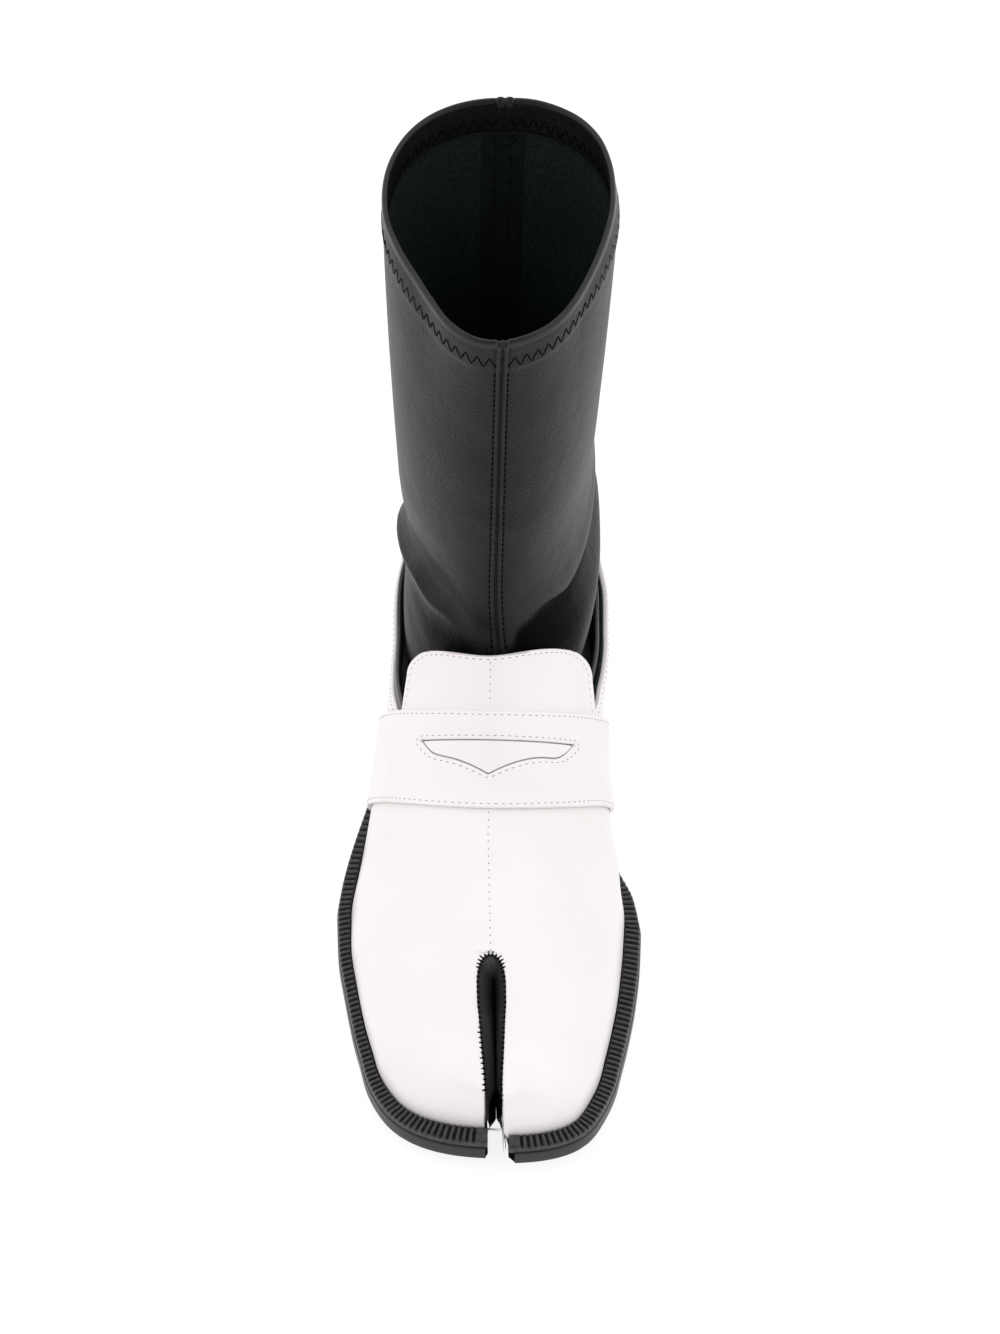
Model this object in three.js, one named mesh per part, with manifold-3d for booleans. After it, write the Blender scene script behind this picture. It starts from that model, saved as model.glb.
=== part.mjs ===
// A right split-toe boot: a white leather loafer with a low heel, a black ribbed welt and sole,
// a strap over the instep, and a black stretch-leather shaft that comes up out of the loafer.
// Millimetres, +Z up, toe towards -Y, big-toe side towards +X, floor at Z = 0.

import * as THREE from "three";
import { mergeVertices } from "three/addons/utils/BufferGeometryUtils.js";
import Module from "manifold-3d";

const wasm = await Module();
wasm.setup();

// Driving sizes of the whole boot
const LENGTH = 282; // outsole, toe to heel
const BALL_WIDTH = 102.6; // outsole across the ball
const COLLAR_FRONT = 226; // rim of the shaft above the floor, at the front seam
const COLLAR_BACK = 241; // rim of the shaft above the floor, at the back seam
const COLLAR_WIDTH = 76; // shaft across its rim
const INSTEP = 96; // top of the tongue above the floor
const TOPLINE = 76; // edge of the loafer above the floor, at the heel

// Sole, welt and heel
const HEEL_HEIGHT = 20; // under the outsole
const TOE_SPRING = 7.5; // outsole's underside above the floor, at the toe
const OUTSOLE = 6; // thickness
const SOLE_EDGE = 1.2; // rounding of the outsole's lower edge
const WELT_WIDTH = 5.2; // at the ball
const WELT_OUTER = 2.0; // height of the welt's outer edge over the outsole
const WELT_INNER = 3.2; // height of the welt against the upper
const WELT_STEP = 0.6; // welt's edge behind the outsole's edge
const RIB_PITCH = 2.5;
const RIB_HEIGHT = 0.8;
const TOP_LIFT = 5; // thickness
const HEEL_BREAST = 0.735; // heel's front face, as a share of LENGTH
const HEEL_INSET = 1.0;
const INSOLE = 2.6; // thickness

// Leathers
const GAP = 0.3; // between pieces that touch
const WALL = 1.8; // upper
const LINING = 1.2; // quarter lining
const LINING_RISE = 3.2; // lining's edge above the white topline
const GUSSET = 1.2; // leather between the toes
const STRAP = 1.6; // thickness
const SHAFT_WALL = 1.3;
const SHAFT_BAND = 13; // height of the turned-over facing at the rim
const BAND_STEP = 0.4; // facing's extra thickness, each side
const SEAM_RIDGE = 0.8; // height of the two ridges beside the shaft's seams
const SEAM_HALF = 2.3; // half width over both ridges
const SEAM_GROOVE = 0.5; // half width of the groove between them

// Cleft between the toes
const CLEFT_LENGTH = 56; // from the toe's tip to its rounded end, on top
const CLEFT_SOLE_END = 51; // the same, in the sole
const CLEFT_SOLE_WIDTH = 5.4;
const CLEFT_LOW_WIDTH = 2.6; // between the gusset's walls just above the sole
const CLEFT_TOP_WIDTH = 6.6; // between them at its rounded end, on top
const CLEFT_AT_END = 1.3; // X of its middle line at its rounded end
const CLEFT_AT_TOE = 6.0; // X of its middle line at the toe
const CORNER = { lateral: 2, medial: 4.5 }; // rounding of the lobes' inner front corners

// Strap and tongue lie square to the slope of the instep
const SLOPE = THREE.MathUtils.degToRad(36);
const STRAP_FRONT = { s: 108, z: 67.3 }; // strap's front edge on the middle line
const STRAP_WIDTH = 31;
const SLIT = { width: 50, depth: 11, ends: 5, from: 10.5 }; // opening in the strap, from its back edge
const TONGUE_LENGTH = 16.5; // beyond the strap's back edge, on the middle line
const TONGUE_HALF = 32.5; // half width at the strap
const TONGUE_TIP = 30.5; // half width at its end
const TONGUE_CORNER = 8;
const TONGUE_DIP = 3.3; // depth of the dip in its end
const STRAP_MIDDLE = 2.3; // X of the middle of the strap's slit and of the tongue
const SEAM_SHIFT = -2.3; // X of the slit's V and of the dip from that middle

// Outsole's plan: a row for each station, shares of LENGTH and of BALL_WIDTH from the middle line,
// and the welt's visible width there as a share of WELT_WIDTH
const PLAN = [
  { at: 0.0, lateral: 0.37, medial: 0.43, welt: 1.3 },
  { at: 0.131, lateral: 0.388, medial: 0.438, welt: 1.05 },
  { at: 0.191, lateral: 0.431, medial: 0.464, welt: 1.0 },
  { at: 0.252, lateral: 0.464, medial: 0.487, welt: 1.0 },
  { at: 0.312, lateral: 0.488, medial: 0.497, welt: 1.0 },
  { at: 0.355, lateral: 0.497, medial: 0.499, welt: 1.0 },
  { at: 0.376, lateral: 0.5, medial: 0.49, welt: 0.98 },
  { at: 0.408, lateral: 0.493, medial: 0.471, welt: 0.95 },
  { at: 0.44, lateral: 0.48, medial: 0.431, welt: 0.92 },
  { at: 0.472, lateral: 0.461, medial: 0.395, welt: 0.88 },
  { at: 0.535, lateral: 0.412, medial: 0.336, welt: 0.8 },
  { at: 0.603, lateral: 0.365, medial: 0.302, welt: 0.75 },
  { at: 0.674, lateral: 0.331, medial: 0.302, welt: 0.75 },
  { at: 0.745, lateral: 0.317, medial: 0.315, welt: 0.75 },
  { at: 0.833, lateral: 0.312, medial: 0.325, welt: 0.75 },
  { at: 1.0, lateral: 0.312, medial: 0.325, welt: 0.75 },
];
// Round ends of that plan: where each starts, how far it reaches, and how square it is
const TOE_END = {
  lateral: { from: 0.007, reach: 0.124, power: 2.5 },
  medial: { from: 0, reach: 0.132, power: 2.4 },
};
const HEEL_END = { reach: 0.125, power: 2.3 };
const HEEL_MIDDLE = 1.5; // X of the heel's middle line

// Outsole's underside: shares of LENGTH, of TOE_SPRING and of HEEL_HEIGHT
const UNDERSIDE = [
  { at: 0.0, spring: 1.0, rise: 0 },
  { at: 0.05, spring: 0.6, rise: 0 },
  { at: 0.12, spring: 0.2, rise: 0 },
  { at: 0.2, spring: 0.0, rise: 0 },
  { at: 0.39, spring: 0.0, rise: 0 },
  { at: 0.45, spring: 0.0, rise: 0.06 },
  { at: 0.53, spring: 0.0, rise: 0.32 },
  { at: 0.62, spring: 0.0, rise: 0.68 },
  { at: 0.7, spring: 0.0, rise: 0.92 },
  { at: 0.76, spring: 0.0, rise: 1.0 },
  { at: 1.0, spring: 0.0, rise: 1.0 },
];

// Loafer's body: height of its middle line as a share of INSTEP, and how far its sides swell
// outwards as a share of BALL_WIDTH. Past the tongue the height is that of the last, which is cut away.
const BODY = [
  { at: 0.0, ridge: 0.31, lateral: 0.01, medial: 0.01 },
  { at: 0.043, ridge: 0.375, lateral: 0.012, medial: 0.012 },
  { at: 0.07, ridge: 0.415, lateral: 0.012, medial: 0.012 },
  { at: 0.106, ridge: 0.448, lateral: 0.014, medial: 0.014 },
  { at: 0.199, ridge: 0.523, lateral: 0.016, medial: 0.016 },
  { at: 0.29, ridge: 0.6, lateral: 0.01, medial: 0.01 },
  { at: 0.383, ridge: 0.702, lateral: -0.012, medial: 0.016 },
  { at: 0.43, ridge: 0.785, lateral: -0.02, medial: 0.036 },
  { at: 0.472, ridge: 0.878, lateral: -0.008, medial: 0.062 },
  { at: 0.516, ridge: 1.0, lateral: 0.015, medial: 0.09 },
  { at: 0.58, ridge: 1.17, lateral: 0.045, medial: 0.125 },
  { at: 0.66, ridge: 1.24, lateral: 0.072, medial: 0.142 },
  { at: 0.74, ridge: 1.24, lateral: 0.08, medial: 0.118 },
  { at: 0.8, ridge: 1.24, lateral: 0.062, medial: 0.08 },
  { at: 0.86, ridge: 1.24, lateral: 0.04, medial: 0.044 },
  { at: 0.93, ridge: 1.24, lateral: 0.024, medial: 0.024 },
  { at: 1.0, ridge: 1.24, lateral: 0.014, medial: 0.014 },
];
const RIDGE_SHIFT = 0.5; // X of the body's middle line
const TOE_SQUARE = 2.5; // how square the body's sections are at the toe
const INSTEP_SQUARE = 2.0; // the same at the instep and behind
const LOBE_DIP = 3.5; // how far the top sinks beside the cleft
const LOBE_DIP_WIDTH = 9;

// Loafer's topline: shares of LENGTH and of TOPLINE, from the strap to the heel
const EDGE = [
  { at: 0.46, height: 0.83 },
  { at: 0.53, height: 0.79 },
  { at: 0.6, height: 0.75 },
  { at: 0.68, height: 0.745 },
  { at: 0.76, height: 0.79 },
  { at: 0.84, height: 0.88 },
  { at: 0.92, height: 0.96 },
  { at: 1.0, height: 1.0 },
];

// Shaft: a row for each ring, from inside the loafer to the rim: front and back as shares of LENGTH and
// of the two collar heights, half width as a share of COLLAR_WIDTH, how pointed its front is, and the
// X of its middle as a share of COLLAR_WIDTH
const SHAFT = [
  { front: 0.45, frontZ: 0.28, back: 0.94, backZ: 0.16, half: 0.37, egg: 0.0, middle: 0.014 },
  { front: 0.485, frontZ: 0.335, back: 0.945, backZ: 0.235, half: 0.4, egg: 0.0, middle: 0.016 },
  { front: 0.519, frontZ: 0.39, back: 0.942, backZ: 0.31, half: 0.412, egg: 0.02, middle: 0.014 },
  { front: 0.538, frontZ: 0.45, back: 0.926, backZ: 0.385, half: 0.415, egg: 0.14, middle: 0.0 },
  { front: 0.546, frontZ: 0.525, back: 0.908, backZ: 0.465, half: 0.42, egg: 0.18, middle: -0.008 },
  { front: 0.558, frontZ: 0.65, back: 0.903, backZ: 0.61, half: 0.445, egg: 0.18, middle: -0.002 },
  { front: 0.574, frontZ: 0.8, back: 0.912, backZ: 0.785, half: 0.475, egg: 0.18, middle: 0.006 },
  { front: 0.585, frontZ: 0.915, back: 0.922, backZ: 0.92, half: 0.492, egg: 0.2, middle: 0.013 },
  { front: 0.592, frontZ: 1.0, back: 0.93, backZ: 1.0, half: 0.5, egg: 0.2, middle: 0.02 },
];
const FRONT_SEAM = 2.0; // X of the shaft's front seam from its middle
const SHAFT_COLUMNS = 22;
const SHAFT_RINGS = 10; // below its facing

const STATIONS = 36; // along the body and the sole
const ROWS = 7; // from the sole's edge to the body's middle line

// Y of a distance s from the toe
const alongY = (s) => s - LENGTH / 2;

// Reads a column of a table at a share of the length, with a cubic that never overshoots its rows
function readTable(table, column, at, key = "at") {
  const n = table.length;
  if (at <= table[0][key]) return table[0][column];
  if (at >= table[n - 1][key]) return table[n - 1][column];
  let i = 0;
  while (at > table[i + 1][key]) i++;
  const slope = (k) =>
    (table[k + 1][column] - table[k][column]) / (table[k + 1][key] - table[k][key]);
  const tangent = (k) => {
    if (k === 0) return slope(0);
    if (k === n - 1) return slope(n - 2);
    const a = slope(k - 1);
    const b = slope(k);
    return a * b <= 0 ? 0 : (2 * a * b) / (a + b);
  };
  const span = table[i + 1][key] - table[i][key];
  const t = (at - table[i][key]) / span;
  return (
    (2 * t ** 3 - 3 * t ** 2 + 1) * table[i][column] +
    (t ** 3 - 2 * t ** 2 + t) * span * tangent(i) +
    (-2 * t ** 3 + 3 * t ** 2) * table[i + 1][column] +
    (t ** 3 - t ** 2) * span * tangent(i + 1)
  );
}

const smooth = (t) => t * t * (3 - 2 * t);
const between = (x, low, high) => Math.min(1, Math.max(0, (x - low) / (high - low)));

// Plan of the outsole
const undersideZ = (s) =>
  TOE_SPRING * readTable(UNDERSIDE, "spring", s / LENGTH) +
  HEEL_HEIGHT * readTable(UNDERSIDE, "rise", s / LENGTH);
const soleTopZ = (s) => undersideZ(s) + OUTSOLE;

// X of the plan's edge on one side, s from the toe
function edgeX(side, s) {
  const at = s / LENGTH;
  const sign = side === "lateral" ? -1 : 1;
  const toe = TOE_END[side];
  const toeShare = 1 - between(at, toe.from, toe.from + toe.reach);
  const heelShare = between(at, 1 - HEEL_END.reach, 1);
  const toeCap = (1 - toeShare ** toe.power) ** (1 / toe.power);
  const heelCap = (1 - heelShare ** HEEL_END.power) ** (1 / HEEL_END.power);
  const middle = THREE.MathUtils.lerp(CLEFT_AT_TOE, HEEL_MIDDLE, smooth(between(at, 0.1, 0.6)));
  const half = sign * readTable(PLAN, side, at) * BALL_WIDTH;
  return middle + (half - middle) * toeCap * heelCap;
}

// One side of the plan as a path from the toe's tip to the heel's, with points at even distances
function sidePath(side) {
  const dense = 600;
  const from = TOE_END[side].from * LENGTH;
  const points = [];
  for (let i = 0; i <= dense; i++) {
    const s = from + (LENGTH - from) * smooth(i / dense);
    points.push(new THREE.Vector2(edgeX(side, s), s));
  }
  const lengths = [0];
  for (let i = 1; i <= dense; i++)
    lengths.push(lengths[i - 1] + points[i].distanceTo(points[i - 1]));
  const total = lengths[dense];
  const at = (t) => {
    const want = Math.min(1, Math.max(0, t)) * total;
    let i = 0;
    while (i < dense - 1 && lengths[i + 1] < want) i++;
    const share = (want - lengths[i]) / (lengths[i + 1] - lengths[i]);
    return points[i].clone().lerp(points[i + 1], share);
  };
  const sign = side === "lateral" ? -1 : 1;
  // Unit vector in the plan that points out of the shoe
  const outward = (t) => {
    const step = 0.004;
    const along = at(t + step).sub(at(t - step)).normalize();
    return new THREE.Vector2(along.y, -along.x).multiplyScalar(sign);
  };
  return { total, at, outward };
}
const SIDES = { lateral: sidePath("lateral"), medial: sidePath("medial") };

// Point of the plan moved inwards by inset
function planPoint(side, t, inset) {
  const path = SIDES[side];
  return path.at(t).sub(path.outward(t).multiplyScalar(inset));
}
const weltWidth = (s) => WELT_WIDTH * readTable(PLAN, "welt", s / LENGTH);

// Middle line of the body over a pair of side points: it starts behind the toe and stops before the heel
function ridgeS(t) {
  const s = (SIDES.lateral.at(t).y + SIDES.medial.at(t).y) / 2;
  const toeReach = 0.043 * LENGTH;
  const heelReach = 0.05 * LENGTH;
  return s + toeReach * Math.exp(-s / (1.4 * toeReach)) - heelReach * Math.exp((s - LENGTH) / (1.4 * heelReach));
}
const cleftX = (s) =>
  THREE.MathUtils.lerp(CLEFT_AT_TOE, CLEFT_AT_END, Math.min(1.2, s / CLEFT_LENGTH));

// How far the top sinks beside the cleft
function lobeDip(x, s) {
  const fade = 1 - smooth(between(s, 0.7 * CLEFT_LENGTH, 1.25 * CLEFT_LENGTH));
  return LOBE_DIP * fade * Math.exp(-(((x - cleftX(s)) / LOBE_DIP_WIDTH) ** 2));
}

// Point of the loafer's outer face: t along the side, v from the sole (0) to the middle line (1)
function bodyPoint(side, t, v) {
  const path = SIDES[side];
  const edge = path.at(t);
  const foot = planPoint(side, t, weltWidth(edge.y));
  const footZ = soleTopZ(foot.y) + GAP;
  const rs = ridgeS(t);
  const rz = INSTEP * readTable(BODY, "ridge", rs / LENGTH);
  const rx = THREE.MathUtils.lerp(CLEFT_AT_TOE, RIDGE_SHIFT, smooth(between(rs, 0, CLEFT_LENGTH)));
  const square = THREE.MathUtils.lerp(TOE_SQUARE, INSTEP_SQUARE, smooth(between(rs, 0.15 * LENGTH, 0.4 * LENGTH)));
  const angle = (v * Math.PI) / 2;
  const inwards = 1 - Math.cos(angle) ** (2 / square);
  const upwards = Math.sin(angle) ** (2 / square);
  const swell = BALL_WIDTH * readTable(BODY, side, edge.y / LENGTH) * Math.sin(Math.PI * upwards ** 0.75);
  const out = path.outward(t).multiplyScalar(swell);
  const x = foot.x + (rx - foot.x) * inwards + out.x;
  const s = foot.y + (rs - foot.y) * inwards + out.y;
  const z = footZ + (rz - footZ) * upwards;
  return new THREE.Vector3(x, alongY(s), z - lobeDip(x, s) * upwards);
}

// The same point moved out along the face's own normal
function bodyOffset(side, t, v, grow) {
  const p = bodyPoint(side, t, v);
  if (!grow) return p;
  const dt = 0.006;
  const dv = 0.02;
  const along = bodyPoint(side, t + dt, v).sub(bodyPoint(side, t - dt, v));
  const up = bodyPoint(side, t, Math.min(1, v + dv)).sub(bodyPoint(side, t, Math.max(0, v - dv)));
  if (v > 0.99) up.set(side === "lateral" ? 1 : -1, 0, 0);
  const normal = along.cross(up).normalize();
  if (side === "lateral") normal.negate();
  if (v < 0.01) normal.setZ(0).normalize();
  return p.addScaledVector(normal, grow);
}

// Solid inside a closed mesh, with corners closer than a distance joined
function solidOf(geometry, near = 1e-4) {
  const bare = geometry.clone();
  bare.deleteAttribute("normal");
  bare.deleteAttribute("uv");
  const merged = mergeVertices(bare, near);
  return new wasm.Manifold(
    new wasm.Mesh({
      numProp: 3,
      vertProperties: new Float32Array(merged.attributes.position.array),
      triVerts: new Uint32Array(merged.index.array),
    }),
  );
}

function geometryOf(solid) {
  const mesh = solid.getMesh();
  const positions = new Float32Array(mesh.numVert * 3);
  for (let i = 0; i < mesh.numVert; i++)
    positions.set(mesh.vertProperties.subarray(i * mesh.numProp, i * mesh.numProp + 3), i * 3);
  const geometry = new THREE.BufferGeometry();
  geometry.setAttribute("position", new THREE.BufferAttribute(positions, 3));
  geometry.setIndex(new THREE.BufferAttribute(new Uint32Array(mesh.triVerts), 1));
  geometry.computeVertexNormals();
  return geometry;
}

// Joins corners that nearly coincide after a cut, and leaves out the flat folds that this makes
function tidied(solid) {
  const bodies = solidOf(geometryOf(solid), 2e-3).decompose();
  return bodies.filter((body) => body.volume() > 0.01).reduce((whole, body) => whole.add(body));
}

// Closed solid through rings that all have the same number of points. Each end is closed by a strip
// between the points that face each other, or the rings run round and close on themselves.
function loft(rings, closed = false) {
  const n = rings[0].length;
  const positions = rings.flat().flatMap((p) => [p.x, p.y, p.z]);
  const index = [];
  const count = closed ? rings.length : rings.length - 1;
  for (let r = 0; r < count; r++)
    for (let i = 0; i < n; i++) {
      const a = r * n + i;
      const b = r * n + ((i + 1) % n);
      const c = ((r + 1) % rings.length) * n + i;
      const d = ((r + 1) % rings.length) * n + ((i + 1) % n);
      index.push(a, b, c, b, d, c);
    }
  const cap = (base, flip) => {
    const at = (i) => base + ((i + n) % n);
    for (let low = 0, high = n - 1; low < high; low++, high--) {
      if (low + 1 < high) index.push(...(flip ? [at(low), at(high), at(low + 1)] : [at(low), at(low + 1), at(high)]));
      if (low + 1 < high - 1)
        index.push(...(flip ? [at(high), at(high - 1), at(low + 1)] : [at(high), at(low + 1), at(high - 1)]));
    }
  };
  if (!closed) {
    cap(0, true);
    cap((rings.length - 1) * n, false);
  }
  const geometry = new THREE.BufferGeometry();
  geometry.setAttribute("position", new THREE.Float32BufferAttribute(positions, 3));
  geometry.setIndex(index);
  const solid = solidOf(geometry);
  if (solid.volume() > 0) return solid;
  for (let i = 0; i < index.length; i += 3) [index[i + 1], index[i + 2]] = [index[i + 2], index[i + 1]];
  geometry.setIndex(index);
  return solidOf(geometry);
}

// Solid between two X, from an outline in the side view given as points of s and z
function sidePrism(points, low, high) {
  const shape = new THREE.Shape(points.map(([s, z]) => new THREE.Vector2(alongY(s), z)));
  const geometry = new THREE.ExtrudeGeometry(shape, { depth: high - low, bevelEnabled: false });
  geometry.rotateY(Math.PI / 2);
  geometry.rotateX(Math.PI / 2);
  geometry.translate(low, 0, 0);
  return solidOf(geometry);
}

// Loafer's body moved out by grow. Below the sole's edge it goes on down by skirt.
function bodySolid(grow, skirt = 0) {
  const rings = [];
  for (let i = 0; i <= STATIONS; i++) {
    const t = THREE.MathUtils.lerp(0.006, 0.994, i / STATIONS);
    const half = (side) => {
      const points = [];
      for (let k = 0; k <= ROWS; k++) points.push(bodyOffset(side, t, k / ROWS, grow));
      if (skirt) points.unshift(points[0].clone().setZ(points[0].z - skirt));
      return points;
    };
    const lateral = half("lateral");
    const medial = half("medial");
    const top = lateral.pop().add(medial.pop()).multiplyScalar(0.5);
    rings.push([...lateral, top, ...medial.reverse()]);
  }
  return loft(rings);
}

// Cleft between the toes, as a solid to cut with: its walls lean apart upwards
const cleftHalf = (z) => {
  const low = soleTopZ(0.1 * LENGTH);
  const top = INSTEP * readTable(BODY, "ridge", CLEFT_LENGTH / LENGTH);
  const share = between(z, (low + top) / 3, top);
  return THREE.MathUtils.lerp(CLEFT_LOW_WIDTH, CLEFT_TOP_WIDTH, share) / 2;
};
function cleftSolid(grow, inset, levels, halfAt, endAt) {
  const rings = levels.map((z) => {
    const half = halfAt(z) + grow;
    const end = endAt(z) + grow;
    const wall = (s, sign) => new THREE.Vector3(cleftX(s) + sign * half, alongY(s), z);
    const front = -12;
    // Wall of one lobe up to its rounded front corner
    const lobe = (side, sign) => {
      const radius = CORNER[side];
      const from = TOE_END[side].from * LENGTH + inset - 0.2 * radius;
      if (grow) return [wall(front, sign), wall(from + radius, sign)];
      const arc = [0, 30, 60, 90].map((deg) => {
        const a = THREE.MathUtils.degToRad(deg);
        const s = from + radius * (1 - Math.sin(a));
        const p = wall(from + radius, sign);
        return new THREE.Vector3(p.x + sign * radius * (1 - Math.cos(a)), alongY(s), z);
      });
      const last = arc[arc.length - 1];
      return [new THREE.Vector3(last.x, alongY(front), z), ...arc.reverse()];
    };
    const round = [];
    for (const deg of [-60, -30, 0, 30, 60]) {
      const a = THREE.MathUtils.degToRad(deg);
      const s = end - half + half * Math.cos(a);
      round.push(new THREE.Vector3(cleftX(end - half) + half * Math.sin(a), alongY(s), z));
    }
    return [
      ...lobe("lateral", -1),
      wall(end - half, -1),
      ...round,
      wall(end - half, 1),
      ...lobe("medial", 1).reverse(),
    ];
  });
  return loft(rings);
}
const upperCleft = (grow) => {
  const low = soleTopZ(0);
  const top = INSTEP * readTable(BODY, "ridge", CLEFT_LENGTH / LENGTH);
  const levels = [0.1, 0.3, 0.5, 0.7, 0.85, 1, 1.5].map((share) => low - 9 + (top - low + 9) * share);
  return cleftSolid(grow, weltWidth(0), levels, cleftHalf, (z) =>
    THREE.MathUtils.lerp(CLEFT_SOLE_END, CLEFT_LENGTH, between(z, low, top)),
  );
};
const soleCleft = (grow) =>
  cleftSolid(grow, 0, [-5, soleTopZ(0) + INSOLE + 10], () => CLEFT_SOLE_WIDTH / 2, () => CLEFT_SOLE_END);

// Directions of the strap: along the slope of the instep, and up out of it
const alongSlope = { s: Math.cos(SLOPE), z: Math.sin(SLOPE) };
const offSlope = { s: -Math.sin(SLOPE), z: Math.cos(SLOPE) };
const slopePoint = (along, off) => [
  STRAP_FRONT.s + along * alongSlope.s + off * offSlope.s,
  STRAP_FRONT.z + along * alongSlope.z + off * offSlope.z,
];

// Outsole with its toe spring, arch and split toe
function makeOutsole() {
  const rings = [];
  for (let i = 0; i <= STATIONS; i++) {
    const t = THREE.MathUtils.lerp(0.005, 0.995, i / STATIONS);
    const point = (side, inset, z) => {
      const p = planPoint(side, t, inset);
      return new THREE.Vector3(p.x, alongY(p.y), z(p.y));
    };
    const low = (s) => undersideZ(s);
    const edge = (s) => undersideZ(s) + SOLE_EDGE;
    rings.push([
      point("lateral", SOLE_EDGE, low),
      point("lateral", 0, edge),
      point("lateral", 0, soleTopZ),
      point("medial", 0, soleTopZ),
      point("medial", 0, edge),
      point("medial", SOLE_EDGE, low),
    ]);
  }
  return loft(rings).subtract(soleCleft(0));
}

// Ribbed welt round the loafer, open at the cleft
function makeWelt() {
  const lateral = SIDES.lateral;
  const medial = SIDES.medial;
  // From the lateral lobe's inner corner round the heel to the medial one's
  const total = lateral.total + medial.total;
  const start = (CLEFT_SOLE_WIDTH / 2 + CORNER.lateral) / total;
  const end = 1 - (CLEFT_SOLE_WIDTH / 2 + CORNER.medial) / total;
  const ribs = Math.round(((end - start) * total) / RIB_PITCH);
  const rings = [];
  for (let i = 0; i <= 2 * ribs; i++) {
    const w = THREE.MathUtils.lerp(start, end, i / (2 * ribs)) * total;
    const side = w < lateral.total ? "lateral" : "medial";
    const t = side === "lateral" ? w / lateral.total : (total - w) / medial.total;
    const edge = SIDES[side].at(t);
    const base = soleTopZ(edge.y) + GAP;
    const width = weltWidth(edge.y);
    const rib = i % 2 ? RIB_HEIGHT : 0;
    const point = (inset, height) => {
      const p = planPoint(side, t, inset);
      return new THREE.Vector3(p.x, alongY(p.y), base + height);
    };
    const share = WELT_INNER / (INSTEP * readTable(BODY, "ridge", ridgeS(t) / LENGTH) - base);
    const against = bodyPoint(side, t, (2 / Math.PI) * Math.asin(share ** 1.1));
    const out = SIDES[side].outward(t);
    const inner = new THREE.Vector3(against.x, against.y, base + WELT_INNER + rib);
    inner.x += out.x * 1.5 * GAP;
    inner.y += out.y * 1.5 * GAP;
    rings.push([
      point(WELT_STEP, 0),
      point(WELT_STEP, WELT_OUTER),
      inner,
      point(width - 1.5 * GAP, 0),
    ]);
  }
  return loft(rings);
}

// Heel block and its top lift share one outline
function heelPart(low, high) {
  const rings = [];
  const steps = 22;
  const from = 0.6;
  for (let i = 0; i <= steps; i++) {
    const t = THREE.MathUtils.lerp(from, 0.994, i / steps);
    const point = (side, z) => {
      const p = planPoint(side, t, HEEL_INSET);
      return new THREE.Vector3(p.x, alongY(p.y), z(p.y));
    };
    rings.push([
      point("lateral", low),
      point("lateral", high),
      point("medial", high),
      point("medial", low),
    ]);
  }
  const breast = HEEL_BREAST * LENGTH;
  const lean = 2;
  const keep = sidePrism(
    [
      [breast + lean, -5],
      [LENGTH + 10, -5],
      [LENGTH + 10, HEEL_HEIGHT + 5],
      [breast - lean, HEEL_HEIGHT + 5],
    ],
    -BALL_WIDTH,
    BALL_WIDTH,
  );
  return loft(rings).intersect(keep);
}
const makeTopLift = () => heelPart(() => 0, () => TOP_LIFT);
const makeHeel = () => heelPart(() => TOP_LIFT + GAP, (s) => undersideZ(s) - GAP);

// All that lies above the topline and behind the middle of the strap, moved up and back by grow
function throatSolid(grow) {
  const [frontS, frontZ] = slopePoint(STRAP_WIDTH / 2 + grow, 0);
  const edgeZ = (s) => TOPLINE * readTable(EDGE, "height", s / LENGTH) + grow;
  // Where the plane across the strap comes down to the topline
  const drop = (frontZ - edgeZ(EDGE[0].at * LENGTH)) / offSlope.z;
  const first = frontS - drop * offSlope.s;
  const topline = [];
  for (let i = 0; i <= 12; i++) {
    const s = THREE.MathUtils.lerp(first, LENGTH, i / 12);
    topline.push([s, edgeZ(s)]);
  }
  const reach = LENGTH / 3;
  return sidePrism(
    [
      [frontS + reach * offSlope.s, frontZ + reach * offSlope.z],
      ...topline,
      [LENGTH + 20, edgeZ(LENGTH)],
      [LENGTH + 20, frontZ + reach * offSlope.z],
    ],
    -BALL_WIDTH,
    BALL_WIDTH,
  );
}

// White upper: vamp with its split toe, and the quarters round the heel, open under the foot and at the throat
function makeUpper() {
  const shell = bodySolid(0).subtract(bodySolid(-WALL, 4));
  return shell.subtract(throatSolid(0)).subtract(upperCleft(0)).subtract(upperCleft(GUSSET + GAP));
}

// Black leather walls between the toes
function makeGusset() {
  return bodySolid(-GAP).intersect(upperCleft(GUSSET)).subtract(upperCleft(0));
}

// Black lining that stands up inside the quarters' edge. It starts under the middle of the strap.
function makeLining() {
  const outside = WALL + GAP;
  const [topS, topZ] = slopePoint(STRAP_WIDTH / 2, INSTEP);
  const [lowS, lowZ] = slopePoint(STRAP_WIDTH / 2, -INSTEP);
  const behind = sidePrism(
    [[topS, topZ], [lowS, lowZ], [LENGTH + 20, lowZ], [LENGTH + 20, topZ]],
    -BALL_WIDTH,
    BALL_WIDTH,
  );
  return bodySolid(-outside)
    .subtract(bodySolid(-outside - LINING, 4))
    .intersect(behind)
    .subtract(throatSolid(LINING_RISE));
}

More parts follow.
